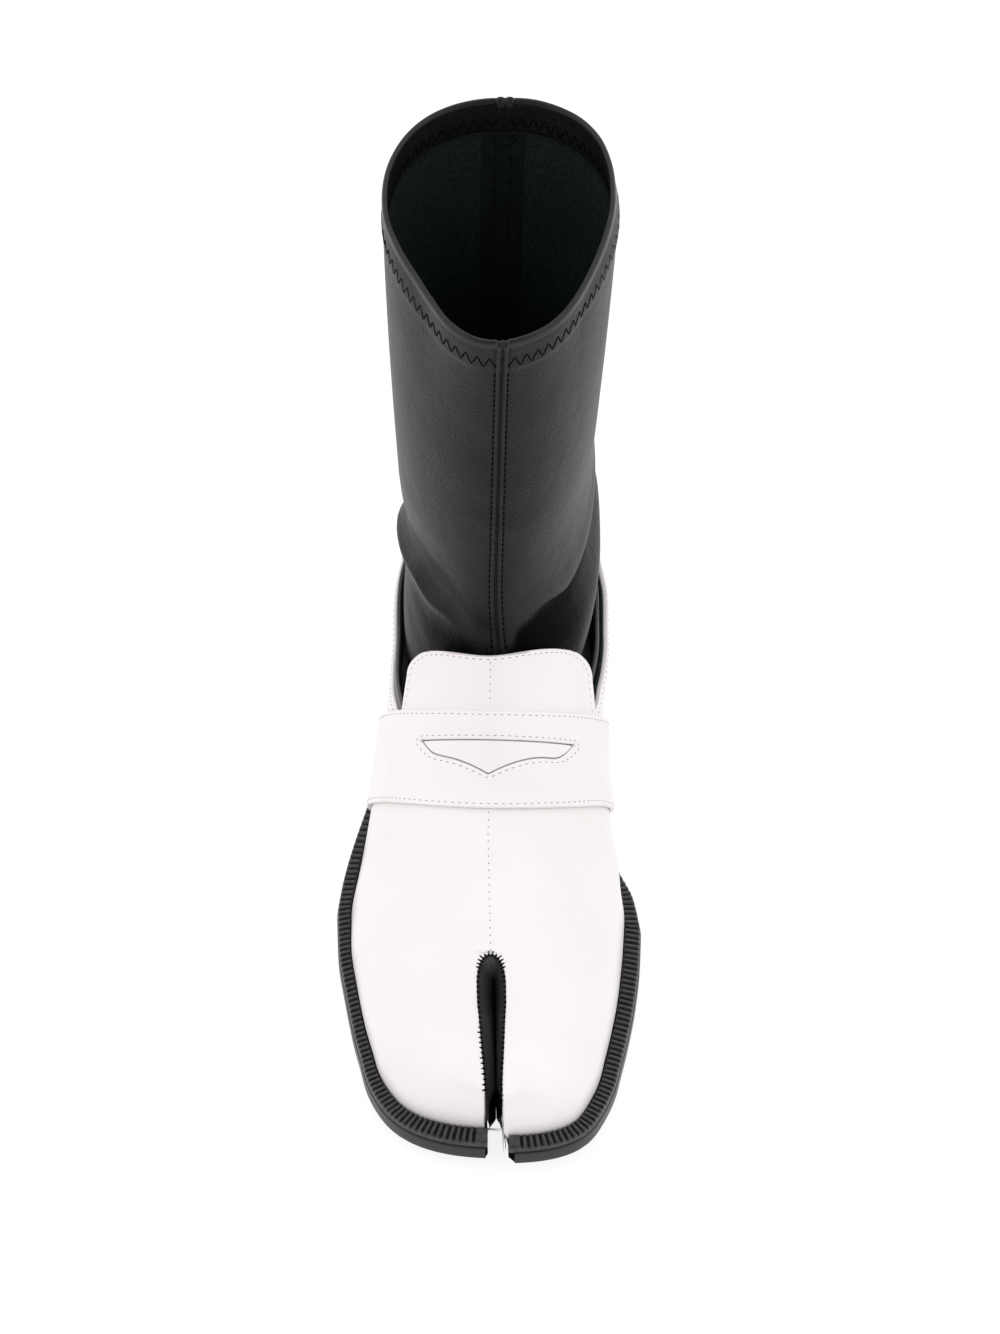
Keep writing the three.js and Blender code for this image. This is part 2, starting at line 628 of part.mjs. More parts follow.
// Strap over the instep with its opening
function makeStrap() {
  const [s0, z0] = slopePoint(0, 60);
  const [s1, z1] = slopePoint(0, -90);
  const [s2, z2] = slopePoint(STRAP_WIDTH, -90);
  const [s3, z3] = slopePoint(STRAP_WIDTH, 60);
  const slab = sidePrism([[s0, z0], [s1, z1], [s2, z2], [s3, z3]], -BALL_WIDTH, BALL_WIDTH);
  const band = bodySolid(GAP + STRAP).subtract(bodySolid(GAP, 4)).intersect(slab);
  const floor = [];
  for (let i = 0; i <= 8; i++) {
    const s = THREE.MathUtils.lerp(0.35, 0.75, i / 8) * LENGTH;
    floor.push([s, soleTopZ(s) + WELT_INNER + RIB_HEIGHT + 2 * GAP]);
  }
  const under = sidePrism([[0.35 * LENGTH, -5], ...floor, [0.75 * LENGTH, -5]].reverse(), -BALL_WIDTH, BALL_WIDTH);
  return band.subtract(under).subtract(slitSolid());
}

// Cutter for a shape drawn in the slope's own plane: x across, y along the slope from the strap's front edge
function slopePrism(shape, low, high) {
  const geometry = new THREE.ExtrudeGeometry(shape, { depth: high - low, bevelEnabled: false, curveSegments: 5 });
  geometry.translate(0, 0, low);
  geometry.rotateX(SLOPE);
  geometry.translate(STRAP_MIDDLE, alongY(STRAP_FRONT.s), STRAP_FRONT.z);
  return solidOf(geometry);
}

// Opening in the strap: straight at the back, with a blunt V at the front
function slitSolid() {
  const back = STRAP_WIDTH - SLIT.from;
  const half = SLIT.width / 2;
  const shape = new THREE.Shape();
  shape.moveTo(-half, back);
  shape.lineTo(half, back);
  shape.quadraticCurveTo(half - 3, back - SLIT.ends, half - 7, back - SLIT.ends);
  shape.quadraticCurveTo(half * 0.4, back - SLIT.ends - 0.6, SEAM_SHIFT, back - SLIT.depth);
  shape.quadraticCurveTo(-half * 0.42, back - SLIT.ends - 0.6, 7 - half, back - SLIT.ends);
  shape.quadraticCurveTo(3 - half, back - SLIT.ends, -half, back);
  return slopePrism(shape, -25, 40);
}

// Tongue: goes on from the vamp under the strap, with round corners and a dip in its end
function makeTongue() {
  const start = STRAP_WIDTH / 2 + 2 * GAP;
  const end = STRAP_WIDTH + TONGUE_LENGTH + TONGUE_DIP;
  const shape = new THREE.Shape();
  shape.moveTo(-TONGUE_HALF, start);
  shape.lineTo(-TONGUE_HALF, STRAP_WIDTH + 2);
  shape.lineTo(-TONGUE_TIP - 1, end - TONGUE_CORNER);
  shape.quadraticCurveTo(-TONGUE_TIP, end, -TONGUE_TIP + TONGUE_CORNER, end);
  shape.quadraticCurveTo(-TONGUE_TIP / 3, end - TONGUE_DIP / 2, SEAM_SHIFT, end - TONGUE_DIP);
  shape.quadraticCurveTo(TONGUE_TIP / 3, end - TONGUE_DIP / 2, TONGUE_TIP - TONGUE_CORNER, end);
  shape.quadraticCurveTo(TONGUE_TIP, end, TONGUE_TIP + 1, end - TONGUE_CORNER);
  shape.lineTo(TONGUE_HALF, STRAP_WIDTH + 2);
  shape.lineTo(TONGUE_HALF, start);
  const shell = bodySolid(0).subtract(bodySolid(-WALL, 4));
  return shell.intersect(slopePrism(shape, -INSTEP / 2, INSTEP / 2)).intersect(throatSolid(2 * GAP));
}

// Insole on the outsole, split like it
function makeInsole() {
  const rings = [];
  for (let i = 0; i <= STATIONS; i++) {
    const t = THREE.MathUtils.lerp(0.03, 0.97, i / STATIONS);
    const point = (side, z) => {
      const edge = SIDES[side].at(t).y;
      const p = planPoint(side, t, weltWidth(edge) + WALL + LINING + 3 * GAP);
      return new THREE.Vector3(p.x, alongY(p.y), z(p.y));
    };
    const low = (s) => soleTopZ(s) + GAP;
    const high = (s) => soleTopZ(s) + GAP + INSOLE;
    rings.push([point("lateral", low), point("lateral", high), point("medial", high), point("medial", low)]);
  }
  return loft(rings).subtract(soleCleft(GUSSET + 2 * GAP));
}

// Height of the seam's two ridges at a distance across it
const seamHeight = (d) => {
  const a = Math.abs(d);
  if (a < 0.05) return 0.15 * SEAM_RIDGE;
  return a <= SEAM_HALF + 0.01 ? SEAM_RIDGE : 0;
};

// Ring of the shaft's face, level with a row of its table; grow moves it out
function shaftRing(row, grow, seams) {
  const front = { s: row.front * LENGTH, z: row.frontZ * COLLAR_FRONT };
  const back = { s: row.back * LENGTH, z: row.backZ * COLLAR_BACK };
  const half = row.half * COLLAR_WIDTH;
  const length = (back.s - front.s) / 2;
  const across = [0, SEAM_GROOVE, SEAM_HALF, SEAM_HALF + 0.5];
  const angles = [];
  const step = (2 * Math.PI) / SHAFT_COLUMNS;
  for (let i = 0; i < SHAFT_COLUMNS; i++) {
    const atSeam = i === 0 || i === SHAFT_COLUMNS / 2;
    if (!atSeam) angles.push([i * step, 0]);
    else
      for (const d of [...across.slice(1).reverse().map((v) => -v), ...across])
        angles.push([i * step + d / half, seams ? seamHeight(d) : 0]);
  }
  return angles.map(([a, ridge]) => {
    const place = (angle) => {
      const u = Math.cos(angle);
      return new THREE.Vector3(
        row.middle * COLLAR_WIDTH + FRONT_SEAM * Math.max(0, u) ** 2 + half * Math.sin(angle) * (1 - row.egg * u),
        alongY((front.s + back.s) / 2 - length * u),
        (front.z + back.z) / 2 - ((back.z - front.z) / 2) * u,
      );
    };
    const p = place(a);
    const along = place(a + 0.01).sub(place(a - 0.01));
    const out = new THREE.Vector2(-along.y, along.x).normalize();
    p.x -= out.x * (grow + ridge);
    p.y -= out.y * (grow + ridge);
    return p;
  });
}

// Row of the shaft's table at a share of its height, between the rows
function shaftRow(share) {
  const rows = SHAFT.map((row, i) => ({ ...row, step: i / (SHAFT.length - 1) }));
  const read = (column) => readTable(rows, column, share, "step");
  return {
    front: read("front"),
    frontZ: read("frontZ"),
    back: read("back"),
    backZ: read("backZ"),
    half: read("half"),
    egg: read("egg"),
    middle: read("middle"),
  };
}

// Black shaft: a tube with a turned-over facing at its rim and raised seams at front and back
function makeShaft() {
  const rim = SHAFT.length - 1;
  const bandShare = (rim - SHAFT_BAND / (COLLAR_FRONT * (SHAFT[rim].frontZ - SHAFT[rim - 1].frontZ))) / rim;
  const outer = [];
  const inner = [];
  const shares = [];
  for (let i = 0; i < SHAFT_RINGS; i++) shares.push((i / SHAFT_RINGS) * (bandShare - 0.004));
  for (const share of shares) outer.push(shaftRing(shaftRow(share), 0, true));
  outer.push(shaftRing(shaftRow(bandShare - 0.002), 0, true));
  outer.push(shaftRing(shaftRow(bandShare + 0.002), BAND_STEP, true));
  outer.push(shaftRing(shaftRow(0.992), BAND_STEP, true));
  outer.push(shaftRing(shaftRow(1), -0.3, true));
  const innerShares = shares.filter((_, i) => i % 2 === 0);
  for (const share of innerShares) inner.push(shaftRing(shaftRow(share), -SHAFT_WALL, false));
  inner.push(shaftRing(shaftRow(bandShare - 0.002), -SHAFT_WALL, false));
  inner.push(shaftRing(shaftRow(bandShare + 0.002), -SHAFT_WALL - BAND_STEP, false));
  inner.push(shaftRing(shaftRow(0.992), -SHAFT_WALL - BAND_STEP, false));
  inner.push(shaftRing(shaftRow(1), -SHAFT_WALL, false));
  return loft([...outer, ...inner.reverse()], true);
}

// Colours and finishes
const LEATHER_WHITE = { color: 0xf3f1ee, roughness: 0.42, metalness: 0 };
const LEATHER_BLACK = { color: 0x1d1d1f, roughness: 0.5, metalness: 0 };
const RUBBER_BLACK = { color: 0x242424, roughness: 0.62, metalness: 0 };
const SUEDE_BLACK = { color: 0x101415, roughness: 0.9, metalness: 0 };

const boot = new THREE.Group();
function add(name, solid, finish) {
  const mesh = new THREE.Mesh(geometryOf(tidied(solid)), new THREE.MeshStandardMaterial(finish));
  mesh.name = name;
  boot.add(mesh);
}

add("outsole", makeOutsole(), RUBBER_BLACK);
add("welt", makeWelt(), RUBBER_BLACK);
add("heel", makeHeel(), RUBBER_BLACK);
add("top_lift", makeTopLift(), RUBBER_BLACK);
add("upper", makeUpper(), LEATHER_WHITE);
add("toe_gusset", makeGusset(), LEATHER_BLACK);
add("quarter_lining", makeLining(), SUEDE_BLACK);
add("strap", makeStrap(), LEATHER_WHITE);
add("tongue", makeTongue(), LEATHER_WHITE);
add("insole", makeInsole(), LEATHER_BLACK);
add("shaft", makeShaft(), LEATHER_BLACK);

export default boot;
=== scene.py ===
"""Dresses a packed right split-toe boot: white loafer, black ribbed welt and sole, black stretch shaft.

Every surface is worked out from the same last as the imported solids, so each piece lies where its solid does.
Lengths are millimetres until a mesh is made. s is the distance from the toe, and Y = s - LENGTH / 2.
"""

import logging
import math
from dataclasses import dataclass, field
from enum import Enum
from functools import partial
from typing import Callable, NamedTuple, Sequence

import bmesh
import bpy
import numpy as np
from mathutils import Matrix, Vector

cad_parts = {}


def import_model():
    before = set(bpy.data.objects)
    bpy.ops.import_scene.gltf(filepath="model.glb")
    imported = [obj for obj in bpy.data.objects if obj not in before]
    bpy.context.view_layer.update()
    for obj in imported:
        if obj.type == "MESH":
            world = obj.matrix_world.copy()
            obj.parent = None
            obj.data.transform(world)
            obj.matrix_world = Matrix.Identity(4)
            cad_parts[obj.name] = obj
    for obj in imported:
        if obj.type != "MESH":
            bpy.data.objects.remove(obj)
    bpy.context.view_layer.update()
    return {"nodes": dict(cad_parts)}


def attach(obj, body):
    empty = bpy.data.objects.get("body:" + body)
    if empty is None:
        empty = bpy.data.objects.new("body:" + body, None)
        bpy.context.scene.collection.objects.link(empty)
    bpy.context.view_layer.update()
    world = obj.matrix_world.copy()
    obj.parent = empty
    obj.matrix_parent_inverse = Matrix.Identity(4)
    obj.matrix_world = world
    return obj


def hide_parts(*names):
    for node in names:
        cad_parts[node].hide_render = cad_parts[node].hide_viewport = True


LOG = logging.getLogger("boot")
MM = 0.001
# Mesh attribute that carries painted shade: the share of colour and gloss a finish keeps, lower in creases and
# hollows.
PAINTED_SHADE = "shade"

# Driving sizes, the same as those of the solids
LENGTH = 282.0
BALL_WIDTH = 102.6
COLLAR_FRONT = 226.0
COLLAR_BACK = 241.0
COLLAR_WIDTH = 76.0
INSTEP = 96.0
TOPLINE = 76.0
HEEL_HEIGHT = 20.0
TOE_SPRING = 7.5
OUTSOLE = 6.0
GAP = 0.3
WALL = 1.8
GUSSET = 1.2
STRAP_WIDTH = 31.0
JOIN = 26.0


class Side(Enum):
    """Sides of the shoe, with the sign of X on each."""

    LATERAL = -1
    MEDIAL = 1


class Slot(Enum):
    """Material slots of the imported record."""

    WHITE = "white_leather"
    BLACK = "black_leather"
    LINING = "black_lining"
    RUBBER = "black_rubber"
    INSOLE = "insole_leather"


class PlanRow(NamedTuple):
    """Outsole's half widths, and the welt's visible width on each side, as shares."""

    at: float
    lateral: float
    medial: float
    lateral_welt: float
    medial_welt: float


class BodyRow(NamedTuple):
    """Height of the loafer's middle line and how far its sides swell, as shares."""

    at: float
    ridge: float
    lateral: float
    medial: float


class UnderRow(NamedTuple):
    """Outsole's underside as shares of the toe spring and the heel's height."""

    at: float
    spring: float
    rise: float


class EdgeRow(NamedTuple):
    """Loafer's topline as a share of its height at the heel, and how much higher its lateral side is."""

    at: float
    height: float
    lateral: float


class ShaftRow(NamedTuple):
    """Ring of the shaft, as shares of the length, the collar's heights and its width."""

    front: float
    front_z: float
    back: float
    back_z: float
    half: float
    egg: float
    middle: float


class HeelLayer(NamedTuple):
    """Layer of the heel: its piece, the solid it stands for, and how far in each height lies."""

    piece: str
    node: str
    rows: tuple[tuple[float, float], ...]


class ToeEnd(NamedTuple):
    """Round end of the plan at the toe, and the shape of a lobe beside the cleft's mouth.

    corner rounds the sole, lobe and lobe_height the white leather, and gusset the black leather under it.
    opening is how far the black wall stands back from the cleft's middle at its mouth.
    """

    start: float
    reach: float
    power: float
    corner: float
    lobe: float
    lobe_height: float
    gusset: float
    opening: float


PLAN = (
    PlanRow(0.0, 0.372, 0.458, 1.4, 1.15),
    PlanRow(0.07, 0.366, 0.423, 1.15, 1.15),
    PlanRow(0.131, 0.386, 0.445, 1.0, 1.2),
    PlanRow(0.191, 0.425, 0.473, 0.95, 1.22),
    PlanRow(0.252, 0.459, 0.496, 0.92, 1.22),
    PlanRow(0.312, 0.488, 0.508, 0.9, 1.22),
    PlanRow(0.355, 0.497, 0.51, 0.9, 1.22),
    PlanRow(0.376, 0.5, 0.502, 0.9, 1.22),
    PlanRow(0.408, 0.493, 0.483, 0.9, 1.2),
    PlanRow(0.44, 0.48, 0.442, 0.88, 1.1),
    PlanRow(0.472, 0.461, 0.402, 0.86, 0.95),
    PlanRow(0.535, 0.412, 0.336, 0.8, 0.8),
    PlanRow(0.603, 0.365, 0.302, 0.75, 0.75),
    PlanRow(0.674, 0.331, 0.302, 0.75, 0.75),
    PlanRow(0.745, 0.317, 0.315, 0.75, 0.75),
    PlanRow(0.833, 0.312, 0.325, 0.75, 0.75),
    PlanRow(1.0, 0.312, 0.325, 0.75, 0.75),
)
UNDERSIDE = (
    UnderRow(0.0, 1.0, 0.0),
    UnderRow(0.05, 0.6, 0.0),
    UnderRow(0.12, 0.2, 0.0),
    UnderRow(0.2, 0.0, 0.0),
    UnderRow(0.39, 0.0, 0.0),
    UnderRow(0.45, 0.0, 0.06),
    UnderRow(0.53, 0.0, 0.32),
    UnderRow(0.62, 0.0, 0.68),
    UnderRow(0.7, 0.0, 0.92),
    UnderRow(0.76, 0.0, 1.0),
    UnderRow(1.0, 0.0, 1.0),
)
BODY = (
    BodyRow(0.0, 0.31, 0.01, 0.01),
    BodyRow(0.043, 0.375, 0.012, 0.012),
    BodyRow(0.07, 0.415, 0.012, 0.012),
    BodyRow(0.106, 0.448, 0.014, 0.014),
    BodyRow(0.199, 0.523, 0.016, 0.016),
    BodyRow(0.29, 0.6, 0.01, 0.01),
    BodyRow(0.383, 0.702, -0.012, 0.016),
    BodyRow(0.43, 0.785, -0.02, 0.036),
    BodyRow(0.472, 0.878, -0.008, 0.062),
    BodyRow(0.516, 1.0, 0.008, 0.086),
    BodyRow(0.58, 1.17, 0.032, 0.118),
    BodyRow(0.66, 1.24, 0.06, 0.135),
    BodyRow(0.74, 1.24, 0.08, 0.118),
    BodyRow(0.8, 1.24, 0.062, 0.08),
    BodyRow(0.86, 1.24, 0.04, 0.044),
    BodyRow(0.93, 1.24, 0.024, 0.024),
    BodyRow(1.0, 1.24, 0.014, 0.014),
)
TOPLINE_ROWS = (
    EdgeRow(0.46, 0.83, 3.5),
    EdgeRow(0.53, 0.79, 3.5),
    EdgeRow(0.6, 0.75, 1.5),
    EdgeRow(0.68, 0.745, -1.0),
    EdgeRow(0.76, 0.79, 0.0),
    EdgeRow(0.84, 0.88, 0.0),
    EdgeRow(0.92, 0.96, 0.0),
    EdgeRow(1.0, 1.0, 0.0),
)
SHAFT_ROWS = (
    ShaftRow(0.45, 0.28, 0.94, 0.16, 0.37, 0.0, 0.014),
    ShaftRow(0.485, 0.335, 0.945, 0.235, 0.4, 0.0, 0.016),
    ShaftRow(0.519, 0.39, 0.942, 0.31, 0.412, 0.02, 0.014),
    ShaftRow(0.538, 0.45, 0.926, 0.385, 0.415, 0.14, 0.0),
    ShaftRow(0.546, 0.525, 0.908, 0.465, 0.42, 0.18, -0.008),
    ShaftRow(0.558, 0.65, 0.903, 0.61, 0.445, 0.18, -0.002),
    ShaftRow(0.574, 0.8, 0.912, 0.785, 0.475, 0.18, 0.006),
    ShaftRow(0.585, 0.915, 0.922, 0.92, 0.492, 0.2, 0.013),
    ShaftRow(0.592, 1.0, 0.93, 1.0, 0.5, 0.2, 0.02),
)
TOE_ENDS = {
    Side.LATERAL: ToeEnd(0.008, 0.14, 2.35, 0.5, 0.8, 2.0, 0.0, 2.4),
    Side.MEDIAL: ToeEnd(0.0, 0.132, 2.4, 2.7, 5.0, 8.0, 2.2, 4.0),
}
HEEL_LAYERS = (
    HeelLayer(
        "top_lift_rubber",
        "top_lift",
        ((0.5, 0.0), (0.15, 0.15), (0.0, 0.5), (0.0, 2.5), (0.0, 4.6), (0.3, 5.0)),
    ),
    HeelLayer(
        "heel_block",
        "heel",
        ((0.3, 5.3), (0.0, 5.7), (0.25, 9.5), (0.4, 13.0), (0.3, 16.5), (0.2, 19.7)),
    ),
)
RIDGE_X = ((0.0, 5.3), (56.0, 2.5), (96.0, 0.5))
CLEFT = ((0.0, 2.7), (13.0, 2.88), (23.0, 3.52), (34.5, 4.23), (41.0, 4.68), (56.0, 4.72))
RIM = (
    (-180, 0.2), (-150, 0.5), (-120, 0.0), (-90, 0.1), (-75, -0.6), (-60, -1.0), (-45, 0.3), (-30, 3.0),
    (-15, 4.2), (0, 3.4), (15, 2.4), (30, 2.0), (45, 0.8), (60, -0.7), (75, -1.6), (90, -1.9), (105, -1.9),
    (120, -1.2), (135, 0.2), (150, 1.0), (165, 1.0), (180, 0.2),
)


def smooth(t: np.ndarray) -> np.ndarray:
    """Eases a share from 0 to 1."""
    return t * t * (3 - 2 * t)


def between(x: np.ndarray, low: float, high: float) -> np.ndarray:
    """Share of the way from low to high, kept within 0 and 1."""
    return np.clip((np.asarray(x, float) - low) / (high - low), 0, 1)


def lerp(a: np.ndarray, b: np.ndarray, share: np.ndarray) -> np.ndarray:
    """Value at a share of the way from a to b."""
    return a + (b - a) * share


def unit(v: np.ndarray) -> np.ndarray:
    """Vectors of length 1."""
    return v / np.maximum(np.linalg.norm(v, axis=-1, keepdims=True), 1e-9)


class Curve:
    """Cubic through a table's rows that never overshoots them."""

    def __init__(self, at: Sequence[float], values: Sequence[float]) -> None:
        """Works out the slope at each row.

        Args:
            at: Where the rows are, rising.
            values: Value of each row.
        """
        self.at = np.asarray(at, float)
        self.values = np.asarray(values, float)
        slopes = np.diff(self.values) / np.diff(self.at)
        before, after = slopes[:-1], slopes[1:]
        total = np.where(before + after == 0, 1, before + after)
        inner = np.where(before * after <= 0, 0, 2 * before * after / total)
        self.tangents = np.concatenate(([slopes[0]], inner, [slopes[-1]]))

    def __call__(self, x: np.ndarray) -> np.ndarray:
        """Values at x.

        Args:
            x: Places along the table, clamped to its ends.

        Returns:
            A value for each place.
        """
        x = np.clip(np.asarray(x, float), self.at[0], self.at[-1])
        i = np.clip(np.searchsorted(self.at, x, side="right") - 1, 0, len(self.at) - 2)
        span = self.at[i + 1] - self.at[i]
        t = (x - self.at[i]) / span
        start = (2 * t**3 - 3 * t**2 + 1) * self.values[i]
        leave = (t**3 - 2 * t**2 + t) * span * self.tangents[i]
        stop = (-2 * t**3 + 3 * t**2) * self.values[i + 1]
        arrive = (t**3 - t**2) * span * self.tangents[i + 1]
        return start + leave + stop + arrive


def curve_of(rows: Sequence[NamedTuple], column: str) -> Curve:
    """Curve through one column of a table whose rows say where they are."""
    return Curve([row.at for row in rows], [getattr(row, column) for row in rows])


class SidePath:
    """One side of the outsole's plan, from the toe's tip to the heel's."""

    steps = 3000
    tangent_step = 0.004

    def __init__(self, side: Side, edge_x: Callable[[Side, np.ndarray], np.ndarray]) -> None:
        """Measures the path.

        Args:
            side: Which side.
            edge_x: X of that side's edge at a distance from the toe.
        """
        self.side = side
        start = TOE_ENDS[side].start * LENGTH
        self.s = start + (LENGTH - start) * smooth(np.linspace(0, 1, self.steps + 1))
        self.x = edge_x(side, self.s)
        parts = np.hypot(np.diff(self.x), np.diff(self.s))
        self.lengths = np.concatenate(([0], np.cumsum(parts)))
        self.total = self.lengths[-1]

    def at(self, t: np.ndarray) -> tuple[np.ndarray, np.ndarray]:
        """X and distance from the toe, at shares t of the path's length."""
        want = np.clip(t, 0, 1) * self.total
        return np.interp(want, self.lengths, self.x), np.interp(want, self.lengths, self.s)

    def outward(self, t: np.ndarray) -> tuple[np.ndarray, np.ndarray]:
        """Unit vectors in the plan that point out of the shoe, at shares t.

        Args:
            t: Shares of the path's length.

        Returns:
            X and Y of the vectors.
        """
        x1, s1 = self.at(np.asarray(t) + self.tangent_step)
        x0, s0 = self.at(np.asarray(t) - self.tangent_step)
        size = np.hypot(x1 - x0, s1 - s0) * self.side.value
        return (s1 - s0) / size, -(x1 - x0) / size


@dataclass
class Last:
    """The form that the loafer and the sole are made round."""

    heel_reach: float = 0.125
    heel_power: float = 2.3
    heel_middle: float = 1.5
    welt_width: float = 5.2
    ridge_shift: float = 0.5
    toe_square: float = 2.5
    instep_square: float = 2.0
    lobe_dip: float = 3.5
    lobe_dip_width: float = 9.0
    cleft_length: float = 56.0
    cleft_round: float = 10.0
    cleft_power: float = 2.2
    cleft_at_end: float = 2.5
    cleft_at_toe: float = 5.3
    slope: float = math.radians(36)
    strap_s: float = 108.0
    strap_z: float = 67.3
    paths: dict[Side, SidePath] = field(init=False)

    def __post_init__(self) -> None:
        """Makes the curves of the tables and both side paths."""
        self.plan = {side: curve_of(PLAN, side.name.lower()) for side in Side}
        self.swell = {side: curve_of(BODY, side.name.lower()) for side in Side}
        self.welt_share = {side: curve_of(PLAN, f"{side.name.lower()}_welt") for side in Side}
        self.spring = curve_of(UNDERSIDE, "spring")
        self.rise = curve_of(UNDERSIDE, "rise")
        self.ridge = curve_of(BODY, "ridge")
        self.edge = curve_of(TOPLINE_ROWS, "height")
        self.edge_lift = curve_of(TOPLINE_ROWS, "lateral")
        self.ridge_x = Curve(*zip(*RIDGE_X))
        self.cleft_width = Curve(*zip(*CLEFT))
        self.paths = {side: SidePath(side, self.edge_x) for side in Side}
        self.cos, self.sin = math.cos(self.slope), math.sin(self.slope)

    def underside(self, s: np.ndarray) -> np.ndarray:
        """Height of the outsole's underside."""
        return TOE_SPRING * self.spring(s / LENGTH) + HEEL_HEIGHT * self.rise(s / LENGTH)

    def sole_top(self, s: np.ndarray) -> np.ndarray:
        """Height of the outsole's top."""
        return self.underside(s) + OUTSOLE

    def edge_x(self, side: Side, s: np.ndarray) -> np.ndarray:
        """X of the plan's edge on a side, s from the toe.

        Args:
            side: Which side.
            s: Distances from the toe.

        Returns:
            A value for each.
        """
        at = s / LENGTH
        toe = TOE_ENDS[side]
        toe_share = 1 - between(at, toe.start, toe.start + toe.reach)
        heel_share = between(at, 1 - self.heel_reach, 1)
        toe_cap = (1 - toe_share**toe.power) ** (1 / toe.power)
        heel_cap = (1 - heel_share**self.heel_power) ** (1 / self.heel_power)
        middle = lerp(self.cleft_at_toe, self.heel_middle, smooth(between(at, 0.1, 0.6)))
        half = side.value * self.plan[side](at) * BALL_WIDTH
        return middle + (half - middle) * toe_cap * heel_cap

    def welt_at(self, side: Side, s: np.ndarray) -> np.ndarray:
        """Visible width of the welt."""
        return self.welt_width * self.welt_share[side](s / LENGTH)

    def plan_point(self, side: Side, t: np.ndarray, inset: np.ndarray) -> tuple[np.ndarray, np.ndarray]:
        """X and s of the plan's edge moved inwards.

        Args:
            side: Which side.
            t: Shares along the side, from the toe to the heel.
            inset: How far inwards.

        Returns:
            X and distance from the toe.
        """
        x, s = self.paths[side].at(t)
        out_x, out_s = self.paths[side].outward(t)
        return x - out_x * inset, s - out_s * inset

    def ridge_s(self, t: np.ndarray) -> np.ndarray:
        """Place of the middle line over a pair of side points.

        Args:
            t: Shares along the side, from the toe to the heel.

        Returns:
            A value for each.
        """
        s = (self.paths[Side.LATERAL].at(t)[1] + self.paths[Side.MEDIAL].at(t)[1]) / 2
        toe, heel = 0.043 * LENGTH, 0.05 * LENGTH
        return s + toe * np.exp(-s / (1.4 * toe)) - heel * np.exp((s - LENGTH) / (1.4 * heel))

    def t_of_ridge(self, s: np.ndarray) -> np.ndarray:
        """Share of the side paths whose middle line lies at s."""
        t = np.linspace(0, 1, 2001)
        return np.interp(s, self.ridge_s(t), t)

    def cleft_x(self, s: np.ndarray) -> np.ndarray:
        """X of the cleft's middle line."""
        return lerp(self.cleft_at_toe, self.cleft_at_end, np.minimum(1.2, s / self.cleft_length))

    def body(self, side: Side, t: np.ndarray, v: np.ndarray) -> np.ndarray:
        """Points of the loafer's outer face.

        Args:
            side: Which side.
            t: Shares along the side, from the toe to the heel.
            v: Shares from the sole's edge to the middle line.

        Returns:
            Points as X, Y and Z along the last axis.
        """
        t, v = np.broadcast_arrays(np.asarray(t, float), np.asarray(v, float))
        path = self.paths[side]
        edge_s = path.at(t)[1]
        foot_x, foot_s = self.plan_point(side, t, self.welt_at(side, edge_s))
        foot_z = self.sole_top(foot_s) + GAP
        ridge_s = self.ridge_s(t)
        ridge_z = INSTEP * self.ridge(ridge_s / LENGTH)
        ridge_x = self.ridge_x(ridge_s)
        blend = smooth(between(ridge_s, 0.15 * LENGTH, 0.4 * LENGTH))
        square = lerp(self.toe_square, self.instep_square, blend)
        angle = np.clip(v, 0, 1) * math.pi / 2
        inwards = 1 - np.abs(np.cos(angle)) ** (2 / square)
        upwards = np.abs(np.sin(angle)) ** (2 / square)
        swell = BALL_WIDTH * self.swell[side](edge_s / LENGTH) * np.sin(math.pi * upwards**0.75)
        out_x, out_s = path.outward(t)
        x = foot_x + (ridge_x - foot_x) * inwards + out_x * swell
        s = foot_s + (ridge_s - foot_s) * inwards + out_s * swell
        z = foot_z + (ridge_z - foot_z) * upwards
        fade = 1 - smooth(between(s, 0.7 * self.cleft_length, 1.25 * self.cleft_length))
        dip = self.lobe_dip * fade * np.exp(-(((x - self.cleft_x(s)) / self.lobe_dip_width) ** 2))
        return np.stack([x, s - LENGTH / 2, z - dip * upwards], axis=-1)

    def normal(self, side: Side, t: np.ndarray, v: np.ndarray) -> np.ndarray:
        """Outward normals of the loafer's face.

        Args:
            side: Which side.
            t: Shares along the side, from the toe to the heel.
            v: Shares from the sole's edge to the middle line.

        Returns:
            Unit vectors.
        """
        t, v = np.broadcast_arrays(np.asarray(t, float), np.asarray(v, float))
        dt, dv = 0.004, 0.015
        along = self.body(side, t + dt, v) - self.body(side, t - dt, v)
        up = self.body(side, t, np.minimum(1, v + dv)) - self.body(side, t, np.maximum(0, v - dv))
        top = (v > 0.99)[..., None]
        up = np.where(top, np.array([-side.value, 0.0, 0.0]), up)
        normal = np.cross(along, up) * side.value
        low = v < 0.01
        normal[..., 2] = np.where(low, 0, normal[..., 2])
        return unit(normal)

    def offset(self, side: Side, t: np.ndarray, v: np.ndarray, grow: float) -> np.ndarray:
        """Points of the loafer's face moved out along its normal."""
        return self.body(side, t, v) + self.normal(side, t, v) * grow

    def along(self, p: np.ndarray) -> np.ndarray:
        """Distance of points up the slope of the instep, from the strap's front edge."""
        return (p[..., 1] + LENGTH / 2 - self.strap_s) * self.cos + (p[..., 2] - self.strap_z) * self.sin

    def t_at(self, side: Side, along: np.ndarray, v: np.ndarray) -> np.ndarray:
        """Shares along the side where the face crosses planes square to the instep's slope.

        Args:
            side: Which side.
            along: Distances of the planes up the slope.
            v: Shares from the sole's edge to the middle line.

        Returns:
            A value for each.
        """
        along, v = np.broadcast_arrays(np.asarray(along, float), np.asarray(v, float))
        low, high = np.full(along.shape, 0.12), np.full(along.shape, 0.85)
        for _ in range(24):
            t = (low + high) / 2
            ahead = self.along(self.body(side, t, v)) < along
            low, high = np.where(ahead, t, low), np.where(ahead, high, t)
        return (low + high) / 2

